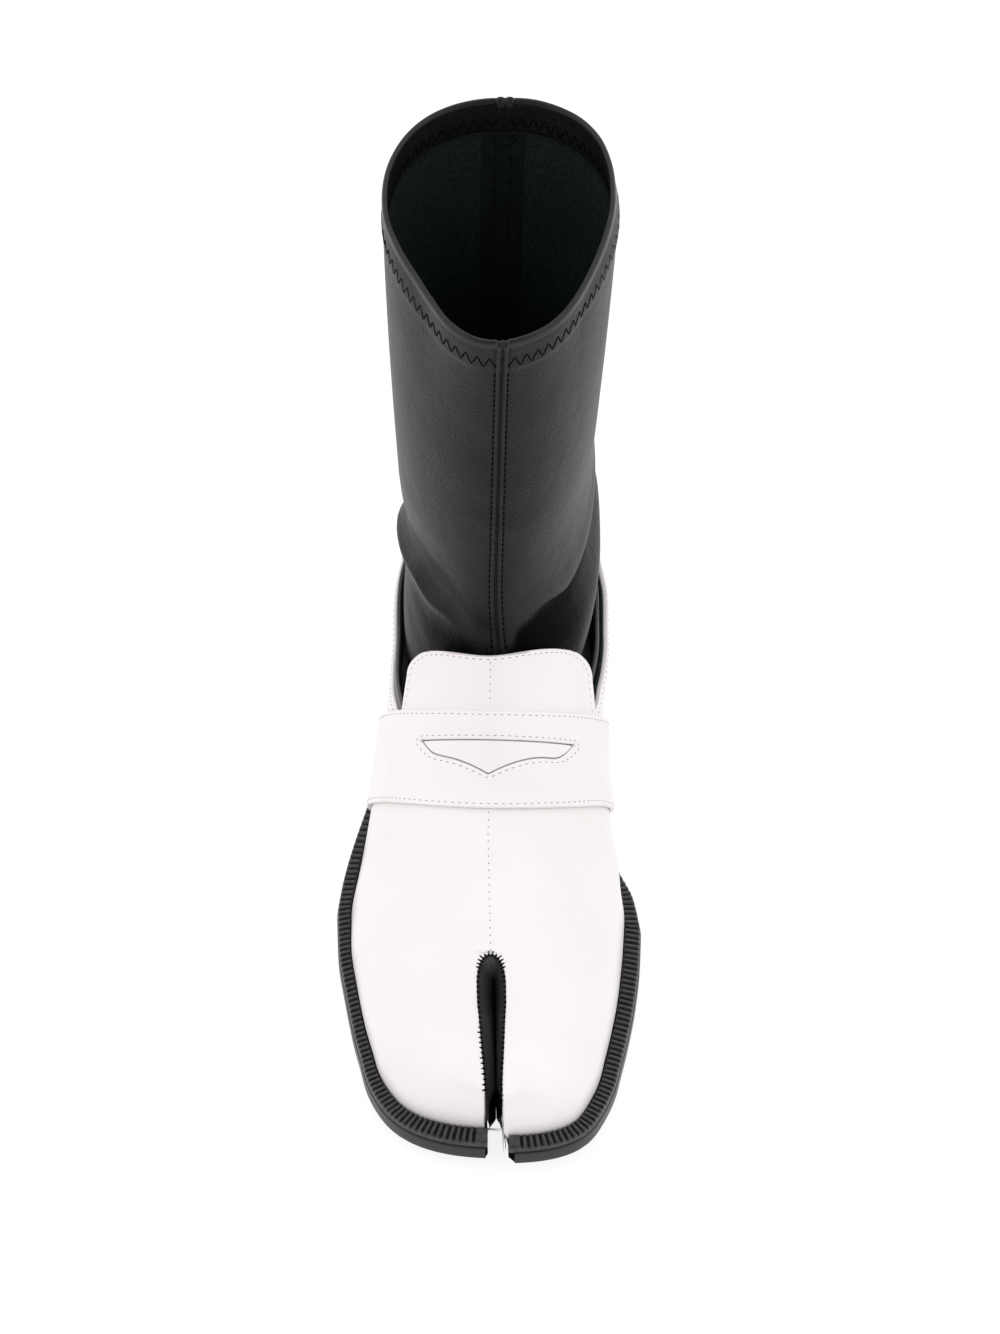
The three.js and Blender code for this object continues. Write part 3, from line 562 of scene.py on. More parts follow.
    def cleft_half(self, s: np.ndarray, grow: float) -> np.ndarray:
        """Half width of the cleft at a distance from the toe, moved out by grow; below 0 past its end.

        Args:
            s: Distances from the toe.
            grow: How far the edge is moved out.

        Returns:
            A value for each.
        """
        end = self.cleft_length - GAP + grow
        share = between(s, end - self.cleft_round, end)
        cap = (1 - share**self.cleft_power) ** (1 / self.cleft_power)
        return np.where(np.asarray(s) > end, -1.0, (self.cleft_width(s) + grow) * cap)

    def flare(self, side: Side, s: np.ndarray, inset: float) -> np.ndarray:
        """How far the cleft's wall has turned away round a lobe's front corner.

        Args:
            side: Which side.
            s: Distances from the toe.
            inset: Of the corner from the sole's edge.

        Returns:
            A value for each.
        """
        radius = TOE_ENDS[side].corner
        start = TOE_ENDS[side].start * LENGTH + inset - 0.2 * radius
        back = np.clip(start + radius - s, 0, radius)
        return radius - np.sqrt(radius**2 - back**2)

    def rounded(self, side: Side, t: np.ndarray, v: np.ndarray, width: float) -> np.ndarray:
        """Shares along a side, moved away from the cleft where a lobe's lower front corner is round.

        Args:
            side: Which side.
            t: Shares along the side, from the cleft on.
            v: Shares from the sole's edge to the middle line.
            width: How far the corner is rounded at its foot, in millimetres.

        Returns:
            The moved shares.
        """
        height = self.body(side, t, v)[..., 2] - self.body(side, t, 0.0 * v)[..., 2]
        back = np.clip(1 - height / TOE_ENDS[side].lobe_height, 0, 1)
        reach = max(width, 0.01) / self.paths[side].total
        near = np.clip(1 - (t - np.min(t)) / (3 * reach), 0, 1)
        return t + reach * near * (1 - np.sqrt(1 - back**2))

    def cleft_clear(self, side: Side, p: np.ndarray, grow: float) -> np.ndarray:
        """Distance of points from the cleft's edge moved out by grow, above 0 where the lobe is.

        Args:
            side: Which side.
            p: Points.
            grow: How far the edge is moved out.

        Returns:
            A value for each.
        """
        x, s = p[..., 0], p[..., 1] + LENGTH / 2
        away = np.abs(x - self.cleft_x(s))
        return away - self.cleft_half(s, grow)

    def throat_clear(self, p: np.ndarray, grow: float) -> np.ndarray:
        """Distance of points under the topline and before the strap's middle, both moved out by grow.

        Args:
            p: Points.
            grow: How far the edge is moved out.

        Returns:
            A value for each.
        """
        s = p[..., 1] + LENGTH / 2
        lift = self.edge_lift(s / LENGTH) * smooth(between(-p[..., 0], 0, 20))
        under = TOPLINE * self.edge(s / LENGTH) + lift + grow - p[..., 2]
        before = JOIN + grow - self.along(p)
        return np.maximum(under, before)

    def top_share(self, side: Side, t: np.ndarray, clear: Callable[[np.ndarray], np.ndarray]) -> np.ndarray:
        """Highest v of each column before a cut, or 1 where nothing cuts it.

        Args:
            side: Which side.
            t: Columns.
            clear: Distance from the cut, above 0 where the sheet is kept.

        Returns:
            A share for each column.
        """
        v = np.linspace(0, 1, 241)
        kept = clear(self.body(side, t[:, None], v[None, :])) > 0
        cut = ~kept
        first = np.where(cut.any(axis=1), cut.argmax(axis=1), len(v) - 1)
        whole = ~cut.any(axis=1)
        low, high = v[np.maximum(first - 1, 0)], v[first]
        for _ in range(16):
            mid = (low + high) / 2
            inside = clear(self.body(side, t, mid)) > 0
            low, high = np.where(inside, mid, low), np.where(inside, high, mid)
        return np.where(whole, 1.0, (low + high) / 2)


LAST = Last()


class SlopeMap:
    """Finds the loafer's face under a point of the plane that lies along the instep."""

    def __init__(self, last: Last) -> None:
        """Tabulates X over both sides of the instep.

        Args:
            last: The form.
        """
        self.last = last
        self.alongs = np.linspace(-14, 58, 145)
        self.shares = np.linspace(0.2, 1, 161)
        self.x: dict[Side, np.ndarray] = {}
        for side in Side:
            t = last.t_at(side, self.alongs[:, None], self.shares[None, :])
            x = last.body(side, t, self.shares[None, :])[..., 0]
            self.x[side] = np.maximum.accumulate(-side.value * x, axis=1)

    def locate(self, side: Side, x: np.ndarray, along: np.ndarray) -> tuple[np.ndarray, np.ndarray]:
        """Shares t and v of the face on one side.

        Args:
            side: Which side.
            x: X of each point.
            along: Distance of each point up the slope.

        Returns:
            Shares t and v.
        """
        x, along = np.broadcast_arrays(np.asarray(x, float), np.asarray(along, float))
        shape = x.shape
        x, along = x.ravel(), along.ravel()
        step = self.alongs[1] - self.alongs[0]
        place = np.clip((along - self.alongs[0]) / step, 0, len(self.alongs) - 1.001)
        j = place.astype(int)
        rows = lerp(self.x[side][j], self.x[side][j + 1], (place - j)[:, None])
        want = -side.value * x
        k = np.clip((rows <= want[:, None]).sum(axis=1) - 1, 0, rows.shape[1] - 2)
        pick = np.arange(len(k))
        low, high = rows[pick, k], rows[pick, k + 1]
        share = np.clip((want - low) / np.maximum(high - low, 1e-9), 0, 1)
        v = lerp(self.shares[k], self.shares[k + 1], share)
        t = self.last.t_at(side, along, v)
        return t.reshape(shape), v.reshape(shape)

    def point(self, x: np.ndarray, along: np.ndarray, grow: float) -> tuple[np.ndarray, np.ndarray]:
        """Points on the face moved out by grow, and the face's normals there.

        Args:
            x: X of each point.
            along: Distance of each point up the slope.
            grow: How far out of the face.

        Returns:
            The points and the normals.
        """
        x, along = np.broadcast_arrays(np.asarray(x, float), np.asarray(along, float))
        points, normals = np.zeros(x.shape + (3,)), np.zeros(x.shape + (3,))
        for side in Side:
            mine = (x < LAST.ridge_shift) == (side is Side.LATERAL)
            t, v = self.locate(side, x[mine], along[mine])
            normals[mine] = self.last.normal(side, t, v)
            points[mine] = self.last.body(side, t, v) + normals[mine] * grow
        return points, normals


def add_grid(
    bm: bmesh.types.BMesh, points: np.ndarray, material: int = 0, shade: np.ndarray | None = None
) -> list[bmesh.types.BMFace]:
    """Adds a grid whose corners are put at points.

    Args:
        bm: Mesh that takes it.
        points: Rows of columns of points, in millimetres.
        material: Index of the material of its faces.
        shade: Painted shade at each point, the share of colour and gloss that a finish reading it keeps.

    Returns:
        The new faces, row by row.
    """
    rows, columns = points.shape[:2]
    before = len(bm.faces)
    layer = bm.verts.layers.float.verify() if shade is not None else None
    made = bmesh.ops.create_grid(bm, x_segments=columns - 1, y_segments=rows - 1, size=1.0)
    for vert, place in zip(made["verts"], points.reshape(-1, 3) * MM):
        vert.co = place
    if shade is not None:
        for vert, value in zip(made["verts"], shade.ravel()):
            vert[layer] = float(value)
    bm.faces.ensure_lookup_table()
    faces = bm.faces[before:]
    for face in faces:
        face.material_index = material
        face.smooth = True
    return faces


def finish_mesh(
    name: str,
    bm: bmesh.types.BMesh,
    materials: Sequence[bpy.types.Material],
    slot: Slot,
    replaces: Sequence[str] = (),
    merge: float = 0.02,
    recalculate: bool = True,
) -> bpy.types.Object:
    """Makes a piece of the boot from a mesh.

    Args:
        name: Name of the piece.
        bm: Its mesh, in metres.
        materials: Its materials, in order of their indices.
        slot: Slot of the record for the piece; not used.
        replaces: Solids that it stands for.
        merge: Distance within which corners are joined, in millimetres.
        recalculate: Whether to turn the normals outwards.

    Returns:
        The piece, riding on the boot.
    """
    bmesh.ops.remove_doubles(bm, verts=bm.verts, dist=merge * MM)
    bmesh.ops.dissolve_degenerate(bm, edges=bm.edges, dist=1e-7)
    if recalculate:
        bmesh.ops.recalc_face_normals(bm, faces=bm.faces)
    mesh = bpy.data.meshes.new(name)
    bm.to_mesh(mesh)
    bm.free()
    for material in materials:
        mesh.materials.append(material)
    piece = bpy.data.objects.new(name, mesh)
    bpy.context.scene.collection.objects.link(piece)
    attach(piece, "root")
    if replaces:
        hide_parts(*replaces)
    LOG.info("%s: %d faces", name, len(mesh.polygons))
    return piece


def thicken(piece: bpy.types.Object, thickness: float, edge: float, segments: int = 2) -> None:
    """Gives a sheet its thickness, inwards, and rounds its edges.

    Args:
        piece: The sheet.
        thickness: Its thickness in millimetres.
        edge: Rounding of its edges in millimetres.
        segments: Steps of that rounding.
    """
    solid = piece.modifiers.new("thickness", "SOLIDIFY")
    solid.thickness = thickness * MM
    solid.offset = -1
    solid.use_even_offset = True
    solid.use_rim = True
    bevel = piece.modifiers.new("edge", "BEVEL")
    bevel.width = edge * MM
    bevel.segments = segments
    bevel.limit_method = "ANGLE"
    bevel.angle_limit = math.radians(50)
    bevel.use_clamp_overlap = False


def add_node(
    tree: bpy.types.NodeTree, kind: str, values: dict[str, float | tuple[float, ...]], operation: str = ""
) -> bpy.types.Node:
    """Adds a shader node.

    Args:
        tree: Nodes of a material or of the world.
        kind: Its kind.
        values: What its sockets are set to.
        operation: What it works out, where it has a choice.

    Returns:
        The node.
    """
    node = tree.nodes.new(f"ShaderNode{kind}")
    if operation:
        node.operation = operation
    for name, value in values.items():
        node.inputs[name].default_value = value
    return node


@dataclass(frozen=True)
class Leather:
    """Finish of a smooth or grained leather, or of rubber with a soft skin."""

    name: str
    colour: tuple[float, float, float]
    shade: tuple[float, float, float]
    roughness: float
    grain: float
    grain_depth: float
    coat: float = 0.0
    coat_roughness: float = 0.2
    sheen: float = 0.0
    specular: float = 0.5
    cloud: float = 18.0
    cloud_depth: float = 0.0
    tint: tuple[float, float, float] = (1.0, 1.0, 1.0)
    # Whether the mesh's painted shade darkens this finish's colour and gloss.
    takes_painted_shade: bool = False

    def make(self) -> bpy.types.Material:
        """Builds the material: colour clouds, pebbled grain and a slow waviness.

        Returns:
            The material.
        """
        material = bpy.data.materials.new(self.name)
        material.use_nodes = True
        tree, links = material.node_tree, material.node_tree.links
        shader = tree.nodes["Principled BSDF"]
        shader.inputs["Coat Weight"].default_value = self.coat
        shader.inputs["Coat Roughness"].default_value = self.coat_roughness
        shader.inputs["Sheen Weight"].default_value = self.sheen
        shader.inputs["Sheen Roughness"].default_value = 0.4
        shader.inputs["Specular IOR Level"].default_value = self.specular
        shader.inputs["Specular Tint"].default_value = (*self.tint, 1)
        place = add_node(tree, "TexCoord", {}).outputs["Object"]
        clouds = add_node(tree, "TexNoise", {"Scale": 1000 / self.cloud, "Detail": 3})
        ramp = add_node(tree, "ValToRGB", {})
        stops = zip(ramp.color_ramp.elements, (0.35, 0.65), (self.shade, self.colour))
        for element, position, colour in stops:
            element.position = position
            element.color = (*colour, 1)
        pebbles = add_node(tree, "TexVoronoi", {"Scale": 1000 / self.grain})
        fine = add_node(tree, "TexNoise", {"Scale": 2200 / self.grain, "Detail": 4})
        rough = add_node(tree, "MapRange", {"To Min": self.roughness - 0.05, "To Max": self.roughness + 0.05})
        grain = add_node(tree, "Bump", {"Distance": self.grain_depth * MM, "Strength": 1.0})
        wave = add_node(tree, "Bump", {"Distance": self.cloud_depth * MM, "Strength": 1.0})
        blend = add_node(tree, "Math", {}, "ADD")
        for texture in (clouds, pebbles, fine):
            links.new(place, texture.inputs["Vector"])
        links.new(clouds.outputs["Fac"], ramp.inputs["Fac"])
        if self.takes_painted_shade:
            self.paint_shade_by_attribute(material, ramp)
        else:
            links.new(ramp.outputs["Color"], shader.inputs["Base Color"])
        links.new(fine.outputs["Fac"], rough.inputs["Value"])
        links.new(rough.outputs["Result"], shader.inputs["Roughness"])
        links.new(pebbles.outputs["Distance"], blend.inputs[0])
        links.new(fine.outputs["Fac"], blend.inputs[1])
        links.new(blend.outputs["Value"], grain.inputs["Height"])
        links.new(clouds.outputs["Fac"], wave.inputs["Height"])
        links.new(wave.outputs["Normal"], grain.inputs["Normal"])
        links.new(grain.outputs["Normal"], shader.inputs["Normal"])
        return material

    def paint_shade_by_attribute(self, material: bpy.types.Material, ramp: bpy.types.Node) -> None:
        """Paints shade into the leather's hollows and creases: darkens its colour and gloss where the mesh's
        painted shade says so.

        Args:
            material: The material.
            ramp: Node that gives its colour.
        """
        tree, links = material.node_tree, material.node_tree.links
        shader = tree.nodes["Principled BSDF"]
        shade = add_node(tree, "Attribute", {})
        shade.attribute_name = PAINTED_SHADE
        # Specular level lowered by the painted shade.
        gloss = add_node(tree, "Math", {}, "MULTIPLY")
        gloss.inputs[1].default_value = self.specular
        # Base colour darkened by the painted shade.
        colour = add_node(tree, "VectorMath", {}, "SCALE")
        links.new(shade.outputs["Fac"], gloss.inputs[0])
        links.new(gloss.outputs["Value"], shader.inputs["Specular IOR Level"])
        links.new(ramp.outputs["Color"], colour.inputs[0])
        links.new(shade.outputs["Fac"], colour.inputs["Scale"])
        links.new(colour.outputs["Vector"], shader.inputs["Base Color"])


@dataclass(frozen=True)
class Finishes:
    """All the boot's materials."""

    white: bpy.types.Material
    white_thread: bpy.types.Material
    black: bpy.types.Material
    rim: bpy.types.Material
    binding: bpy.types.Material
    gusset: bpy.types.Material
    black_thread: bpy.types.Material
    lining: bpy.types.Material
    strip: bpy.types.Material
    rubber: bpy.types.Material
    edge: bpy.types.Material
    insole: bpy.types.Material


def make_finishes() -> Finishes:
    """Makes each finish of the boot once.

    Returns:
        The finishes.
    """
    return Finishes(
        white=Leather(
            "white_leather", (0.865, 0.825, 0.83), (0.84, 0.79, 0.79), 0.36, 0.9, 0.02, coat=0.15,
            coat_roughness=0.25, cloud=34, cloud_depth=0.15,
        ).make(),
        white_thread=Leather(
            "white_thread", (0.36, 0.35, 0.35), (0.3, 0.29, 0.29), 0.7, 0.3, 0.02, specular=0.2
        ).make(),
        black=Leather(
            "black_leather", (0.0085, 0.0081, 0.0092), (0.0058, 0.0056, 0.0064), 0.4, 0.95, 0.14,
            specular=0.24, cloud=24, cloud_depth=1.3, tint=(0.9, 0.885, 1.0), takes_painted_shade=True,
        ).make(),
        rim=Leather(
            "rim_leather", (0.009, 0.0085, 0.0095), (0.006, 0.0058, 0.0065), 0.35, 0.8, 0.05,
            specular=0.3, coat=0.22, coat_roughness=0.2, cloud=9, cloud_depth=0.2,
        ).make(),
        binding=Leather(
            "collar_leather", (0.012, 0.0115, 0.012), (0.008, 0.0078, 0.008), 0.32, 0.8, 0.03, specular=0.4,
            coat=0.3, coat_roughness=0.25, cloud=12, cloud_depth=0.2,
        ).make(),
        gusset=Leather(
            "black_gusset", (0.046, 0.0445, 0.045), (0.031, 0.03, 0.0305), 0.36, 0.7, 0.03, specular=0.8,
            cloud=9, cloud_depth=0.5, takes_painted_shade=True,
        ).make(),
        black_thread=Leather(
            "black_thread", (0.003, 0.003, 0.003), (0.0015, 0.0015, 0.0015), 0.8, 0.3, 0.03, specular=0.05
        ).make(),
        lining=Leather(
            "brushed_lining", (0.0155, 0.0225, 0.0235), (0.0075, 0.0115, 0.012), 0.95, 0.4, 0.15,
            specular=0.15, cloud=1.1, cloud_depth=0.25,
        ).make(),
        strip=Leather(
            "seam_strip", (0.0092, 0.0122, 0.0115), (0.006, 0.0082, 0.0078), 0.85, 0.5, 0.05, specular=0.12,
            cloud=3, cloud_depth=0.1,
        ).make(),
        rubber=Leather(
            "welt_leather", (0.034, 0.0325, 0.033), (0.012, 0.0116, 0.0118), 0.4, 0.7, 0.08, specular=0.6,
            cloud=1.6, cloud_depth=0.12, takes_painted_shade=True,
        ).make(),
        edge=Leather(
            "sole_edge", (0.0145, 0.0135, 0.0138), (0.0105, 0.01, 0.0102), 0.4, 0.6, 0.02,
            specular=0.38, cloud=20, cloud_depth=0.06,
        ).make(),
        insole=Leather(
            "insole_leather", (0.02, 0.02, 0.02), (0.01, 0.01, 0.01), 0.6, 0.8, 0.03, specular=0.3, cloud=14,
            cloud_depth=0.1,
        ).make(),
    )


def distances(line: np.ndarray) -> np.ndarray:
    """Distance of each point of a line from its first."""
    return np.concatenate(([0], np.cumsum(np.linalg.norm(np.diff(line, axis=0), axis=1))))


def read_line(values: np.ndarray, far: np.ndarray, at: Sequence[float]) -> np.ndarray:
    """Points or vectors of a line at distances along it, where far are those of its own points."""
    return np.stack([np.interp(at, far, values[:, i]) for i in range(3)], axis=-1)


def finish_stitches(name: str, bm: bmesh.types.BMesh, thread: bpy.types.Material, slot: Slot) -> None:
    """Makes a piece of stitches, whose corners stay as they are."""
    finish_mesh(name, bm, [thread], slot, merge=0.0001, recalculate=False)


@dataclass
class Sewing:
    """Rows of stitches, each a short thread pressed into the leather."""

    sides: int = 8
    turns: int = 4

    def thread(self, bm: bmesh.types.BMesh, ends: np.ndarray, normals: np.ndarray, radius: float) -> None:
        """Adds a thread between each pair of ends.

        Args:
            bm: Mesh that takes them.
            ends: Pairs of points, in millimetres.
            normals: Way out of the leather at each pair.
            radius: Of the thread.
        """
        template = bmesh.new()
        bmesh.ops.create_uvsphere(template, u_segments=self.sides, v_segments=self.turns, radius=1.0)
        for face in template.faces:
            face.smooth = True
        shape = np.array([vert.co[:] for vert in template.verts])
        stitch = bpy.data.meshes.new("stitch")
        template.to_mesh(stitch)
        template.free()
        run = ends[:, 1] - ends[:, 0]
        half = np.linalg.norm(run, axis=1, keepdims=True) / 2
        ahead = unit(run)
        across = unit(np.cross(normals, ahead))
        out = np.cross(ahead, across)
        middle = (ends[:, 0] + ends[:, 1]) / 2
        square = np.sign(shape[:, 2]) * np.abs(shape[:, 2]) ** 0.75
        places = (
            middle[:, None]
            + ahead[:, None] * (half[:, None] * square[None, :, None])
            + across[:, None] * (radius * shape[None, :, 0, None])
            + out[:, None] * (radius * 0.8 * shape[None, :, 1, None])
        )
        before = len(bm.verts)
        for _ in range(len(ends)):
            bm.from_mesh(stitch)
        bm.verts.ensure_lookup_table()
        for vert, place in zip(bm.verts[before:], places.reshape(-1, 3) * MM):
            vert.co = place
        bpy.data.meshes.remove(stitch)

    def row(
        self,
        bm: bmesh.types.BMesh,
        line: np.ndarray,
        normals: np.ndarray,
        pitch: float,
        length: float,
        radius: float,
    ) -> None:
        """Adds evenly spaced stitches along a line.

        Args:
            bm: Mesh that takes them.
            line: Points of the line.
            normals: Way out of the leather at each point.
            pitch: From one stitch to the next.
            length: Of a stitch.
            radius: Of the thread.
        """
        far = distances(line)
        count = max(1, int(round(far[-1] / pitch)))
        middles = (np.arange(count) + 0.5) * far[-1] / count
        starts, stops = (read_line(line, far, middles + half) for half in (-length / 2, length / 2))
        self.thread(bm, np.stack([starts, stops], axis=1), unit(read_line(normals, far, middles)), radius)


SEWING = Sewing()


@dataclass
class Sole:
    """Outsole, ribbed welt and stacked heel."""

    finishes: Finishes
    edge_round: float = 1.2
    slot_width: float = 4.0
    slot_end: float = 51.0
    splay_from: float = 22.0
    splay_full: float = 9.0
    splay: float = 2.7
    corner_inset: float = 0.5
    welt_outer: float = 1.8
    welt_inner: float = 2.9
    welt_step: float = 0.25
    rib_outer: float = 0.5
    welt_plain: float = 3.0
    rib_pitch: float = 2.25
    rib_height: float = 1.15
    rib_shape: tuple[float, ...] = (0.0, 0.25, 0.85, 1.0, 1.0, 1.0, 0.85, 0.25)
    # Share of colour and gloss kept in the ribs' grooves: painted shade.
    groove_painted_shade: float = 0.3
    breast: float = 0.735
    breast_lean: float = 2.0
    heel_inset: float = 1.0
    top_lift: float = 5.0

    def slot_clear(self, side: Side, x: np.ndarray, s: np.ndarray) -> np.ndarray:
        """Distance from the slot between the toes, above 0 where the sole is.

        Args:
            side: Which side.
            x: X of points.
            s: Distances from the toe.

        Returns:
            A value for each.
        """
        half = self.slot_width / 2
        stop = self.slot_end - half
        reach = np.hypot(x - LAST.cleft_x(np.minimum(s, stop)), np.maximum(0, s - stop))
        if side is Side.MEDIAL:
            half = half + self.splay * smooth(between(s, self.splay_from, self.splay_full))
        return reach - half - LAST.flare(side, s, self.corner_inset)

    def inner_share(self, side: Side, t: np.ndarray) -> np.ndarray:
        """Share of the way from the edge to the middle line at which the slot cuts the sole.

        Args:
            side: Which side.
            t: Shares along the side, from the toe to the heel.

        Returns:
            A value for each.
        """
        q = np.linspace(0, 1, 301)
        edge_x, edge_s = LAST.paths[side].at(t)
        ridge_s, ridge_x = LAST.ridge_s(t), self.middle_x(t)
        x = lerp(edge_x[:, None], ridge_x[:, None], q)
        s = lerp(edge_s[:, None], ridge_s[:, None], q)
        cut = self.slot_clear(side, x, s) < 0
        first = np.where(cut.any(axis=1), cut.argmax(axis=1), len(q) - 1)
        low, high = q[np.maximum(first - 1, 0)], q[first]
        for _ in range(14):
            mid = (low + high) / 2
            kept = self.slot_clear(side, lerp(edge_x, ridge_x, mid), lerp(edge_s, ridge_s, mid)) > 0
            low, high = np.where(kept, mid, low), np.where(kept, high, mid)
        return np.where(cut.any(axis=1), (low + high) / 2, 1.0)

    def middle_x(self, t: np.ndarray) -> np.ndarray:
        """X of the sole's middle line over a pair of side points."""
        return LAST.ridge_x(LAST.ridge_s(t))

    def columns(self, side: Side) -> np.ndarray:
        """Shares along a side where the sole's sections are taken.

        Args:
            side: Which side.

        Returns:
            The shares, rising.
        """
        start = self.first_column(side)
        stretches = (np.linspace(16, 46, 20)[:-1], np.linspace(46, 53, 14)[:-1], np.linspace(53, 268, 96))
        shared = LAST.t_of_ridge(np.concatenate(stretches))
        front = start + (shared[0] - start) * np.linspace(0, 1, 24)[:-1] ** 1.4
        return np.concatenate((front, shared, np.linspace(shared[-1], 1, 12)[1:]))

    def first_column(self, side: Side) -> float:
        """Share along a side of the first section outside the slot.

        Args:
            side: Which side.

        Returns:
            The share.
        """
        t = np.linspace(0, 0.1, 2001)
        x, s = LAST.paths[side].at(t)
        clear = self.slot_clear(side, x, s) > 0.4
        return float(t[clear.argmax()])

    def build_outsole(self) -> None:
        """Makes the outsole with its toe spring, arch and split toe."""
        bm = bmesh.new()
        for side in Side:
            t = self.columns(side)
            share = self.inner_share(side, t)
            ridge_s, ridge_x = LAST.ridge_s(t), self.middle_x(t)
            edge_x, edge_s = LAST.paths[side].at(t)
            inner_x, inner_s = lerp(edge_x, ridge_x, share), lerp(edge_s, ridge_s, share)

            def level(inset: float, rise: float, part: float) -> np.ndarray:
                """Row of points at an inset from the edge, or part of the way in from there."""
                x, s = LAST.plan_point(side, t, inset)
                x, s = lerp(x, inner_x, part), lerp(s, inner_s, part)
                return np.stack([x, s - LENGTH / 2, LAST.underside(s) + rise], axis=-1)

            rows = [level(self.edge_round, 0, part) for part in np.linspace(1, 0, 9)]
            for angle in np.radians([22, 45, 68, 90]):
                rows.append(
                    level(self.edge_round * (1 - math.sin(angle)), self.edge_round * (1 - math.cos(angle)), 0)
                )
            rows += [level(0, rise, 0) for rise in (2.4, 3.6, 4.8, OUTSOLE - 0.4)]
            rows += [level(0.1, OUTSOLE - 0.15, 0), level(0.45, OUTSOLE, 0)]
            rows += [level(0.45, OUTSOLE, part) for part in np.linspace(0, 1, 5)[1:]]
            add_grid(bm, np.array(rows))
        bmesh.ops.remove_doubles(bm, verts=bm.verts, dist=0.02 * MM)
        open_edges = [edge for edge in bm.edges if edge.is_boundary]
        bmesh.ops.bridge_loops(bm, edges=open_edges)
        finish_mesh("outsole_body", bm, [self.finishes.edge], Slot.RUBBER, ["outsole"])

    def welt_places(self, far: np.ndarray) -> list[tuple[np.ndarray, Side, np.ndarray]]:
        """Splits distances round the welt into the columns of each side.

        Args:
            far: Distances from the lateral lobe's tip, round the heel.

        Returns:
            For each side, which columns are on it, the side, and their shares of its path.
        """
        lateral, medial = LAST.paths[Side.LATERAL], LAST.paths[Side.MEDIAL]
        total = lateral.total + medial.total
        first = far < lateral.total
        return [
            (first, Side.LATERAL, far[first] / lateral.total),
            (~first, Side.MEDIAL, (total - far[~first]) / medial.total),
        ]

    def build_welt(self) -> None:
        """Makes the welt: ribs across it, a plain rim outside and a plain line inside."""
        total = LAST.paths[Side.LATERAL].total + LAST.paths[Side.MEDIAL].total
        start = self.slot_width / 2 + TOE_ENDS[Side.LATERAL].corner
        end = total - self.slot_width / 2 - TOE_ENDS[Side.MEDIAL].corner
        ribs = round((end - start) / self.rib_pitch)
        far = np.linspace(start, end, ribs * len(self.rib_shape) + 1)
        wave = np.resize(self.rib_shape, len(far))
        plain = (far < start + self.welt_plain) | (far > end - self.welt_plain)
        wave = np.where(plain, 1.0, wave)
        across = np.concatenate(([0.0, 0.05, 0.1], np.linspace(0.16, 0.84, 6), [0.9, 0.95, 1.0]))
        ribbed = lerp(self.rib_outer, 1, between(across, 0, 0.1)) * (1 - smooth(between(across, 0.92, 1)))
        points = np.zeros((len(across) + 4, len(far), 3))
        shade = np.ones(points.shape[:2])
        # Painted shade: the grooves between the ribs are darkened in colour and gloss.
        shade[4:-4] = lerp(self.groove_painted_shade, 1.0, wave)[None, :]
        for mine, side, t in self.welt_places(far):
            edge_s = LAST.paths[side].at(t)[1]
            base = LAST.sole_top(edge_s) + 0.03
            ridge = INSTEP * LAST.ridge(LAST.ridge_s(t) / LENGTH)
            v = 2 / math.pi * np.arcsin((self.welt_inner / (ridge - base)) ** 1.1)
            against = LAST.offset(side, t, v, 1.0 * GAP)
            x, s = LAST.plan_point(side, t, self.welt_step)
            outer = np.stack([x, s - LENGTH / 2, base], axis=-1)
            foot_x, foot_s = LAST.plan_point(side, t, LAST.welt_at(side, edge_s) - GAP)
            inner_low = np.stack([foot_x, foot_s - LENGTH / 2, base], axis=-1)
            column = [outer, outer + [0, 0, self.welt_outer - 0.5]]
            for share, rib in zip(across, ribbed):
                place = lerp(outer, against, 0.03 + 0.97 * share)
                height = lerp(self.welt_outer, self.welt_inner, share) + rib * self.rib_height * wave[mine]
                place[:, 2] = base + height
                column.append(place)
            column += [inner_low, outer]
            for row, place in enumerate(column):
                points[row, mine] = place
        bm = bmesh.new()
        bm.verts.layers.float.new(PAINTED_SHADE)
        add_grid(bm, points, 0, shade)
        bmesh.ops.remove_doubles(bm, verts=bm.verts, dist=0.002 * MM)
        bmesh.ops.holes_fill(bm, edges=[edge for edge in bm.edges if edge.is_boundary], sides=40)
        finish_mesh("welt_ribbed", bm, [self.finishes.rubber], Slot.RUBBER, ["welt"], merge=0.002)

    def heel_ring(self, inset: float, lean: float) -> tuple[np.ndarray, np.ndarray]:
        """Outline of the heel: its two sides and back, closed by the breast.

        Args:
            inset: From the outsole's edge.
            lean: How far the breast has leaned back.

        Returns:
            X and s of its points, going round.
        """
        breast = self.breast * LENGTH + lean
        sides = []
        for side in Side:
            t = np.linspace(0.55, 1, 3000)
            s = LAST.plan_point(side, t, inset)[1]
            first = t[(s > breast).argmax()]
            t = first + (1 - first) * np.linspace(0, 1, 60)
            sides.append(LAST.plan_point(side, t, inset))
        (lx, ls), (mx, ms) = sides
        front = np.linspace(0, 1, 12)[1:-1]
        x = np.concatenate((lx, mx[::-1][1:], lerp(mx[0], lx[0], front)))
        s = np.concatenate((ls, ms[::-1][1:], np.full(len(front), breast)))
        return x, s

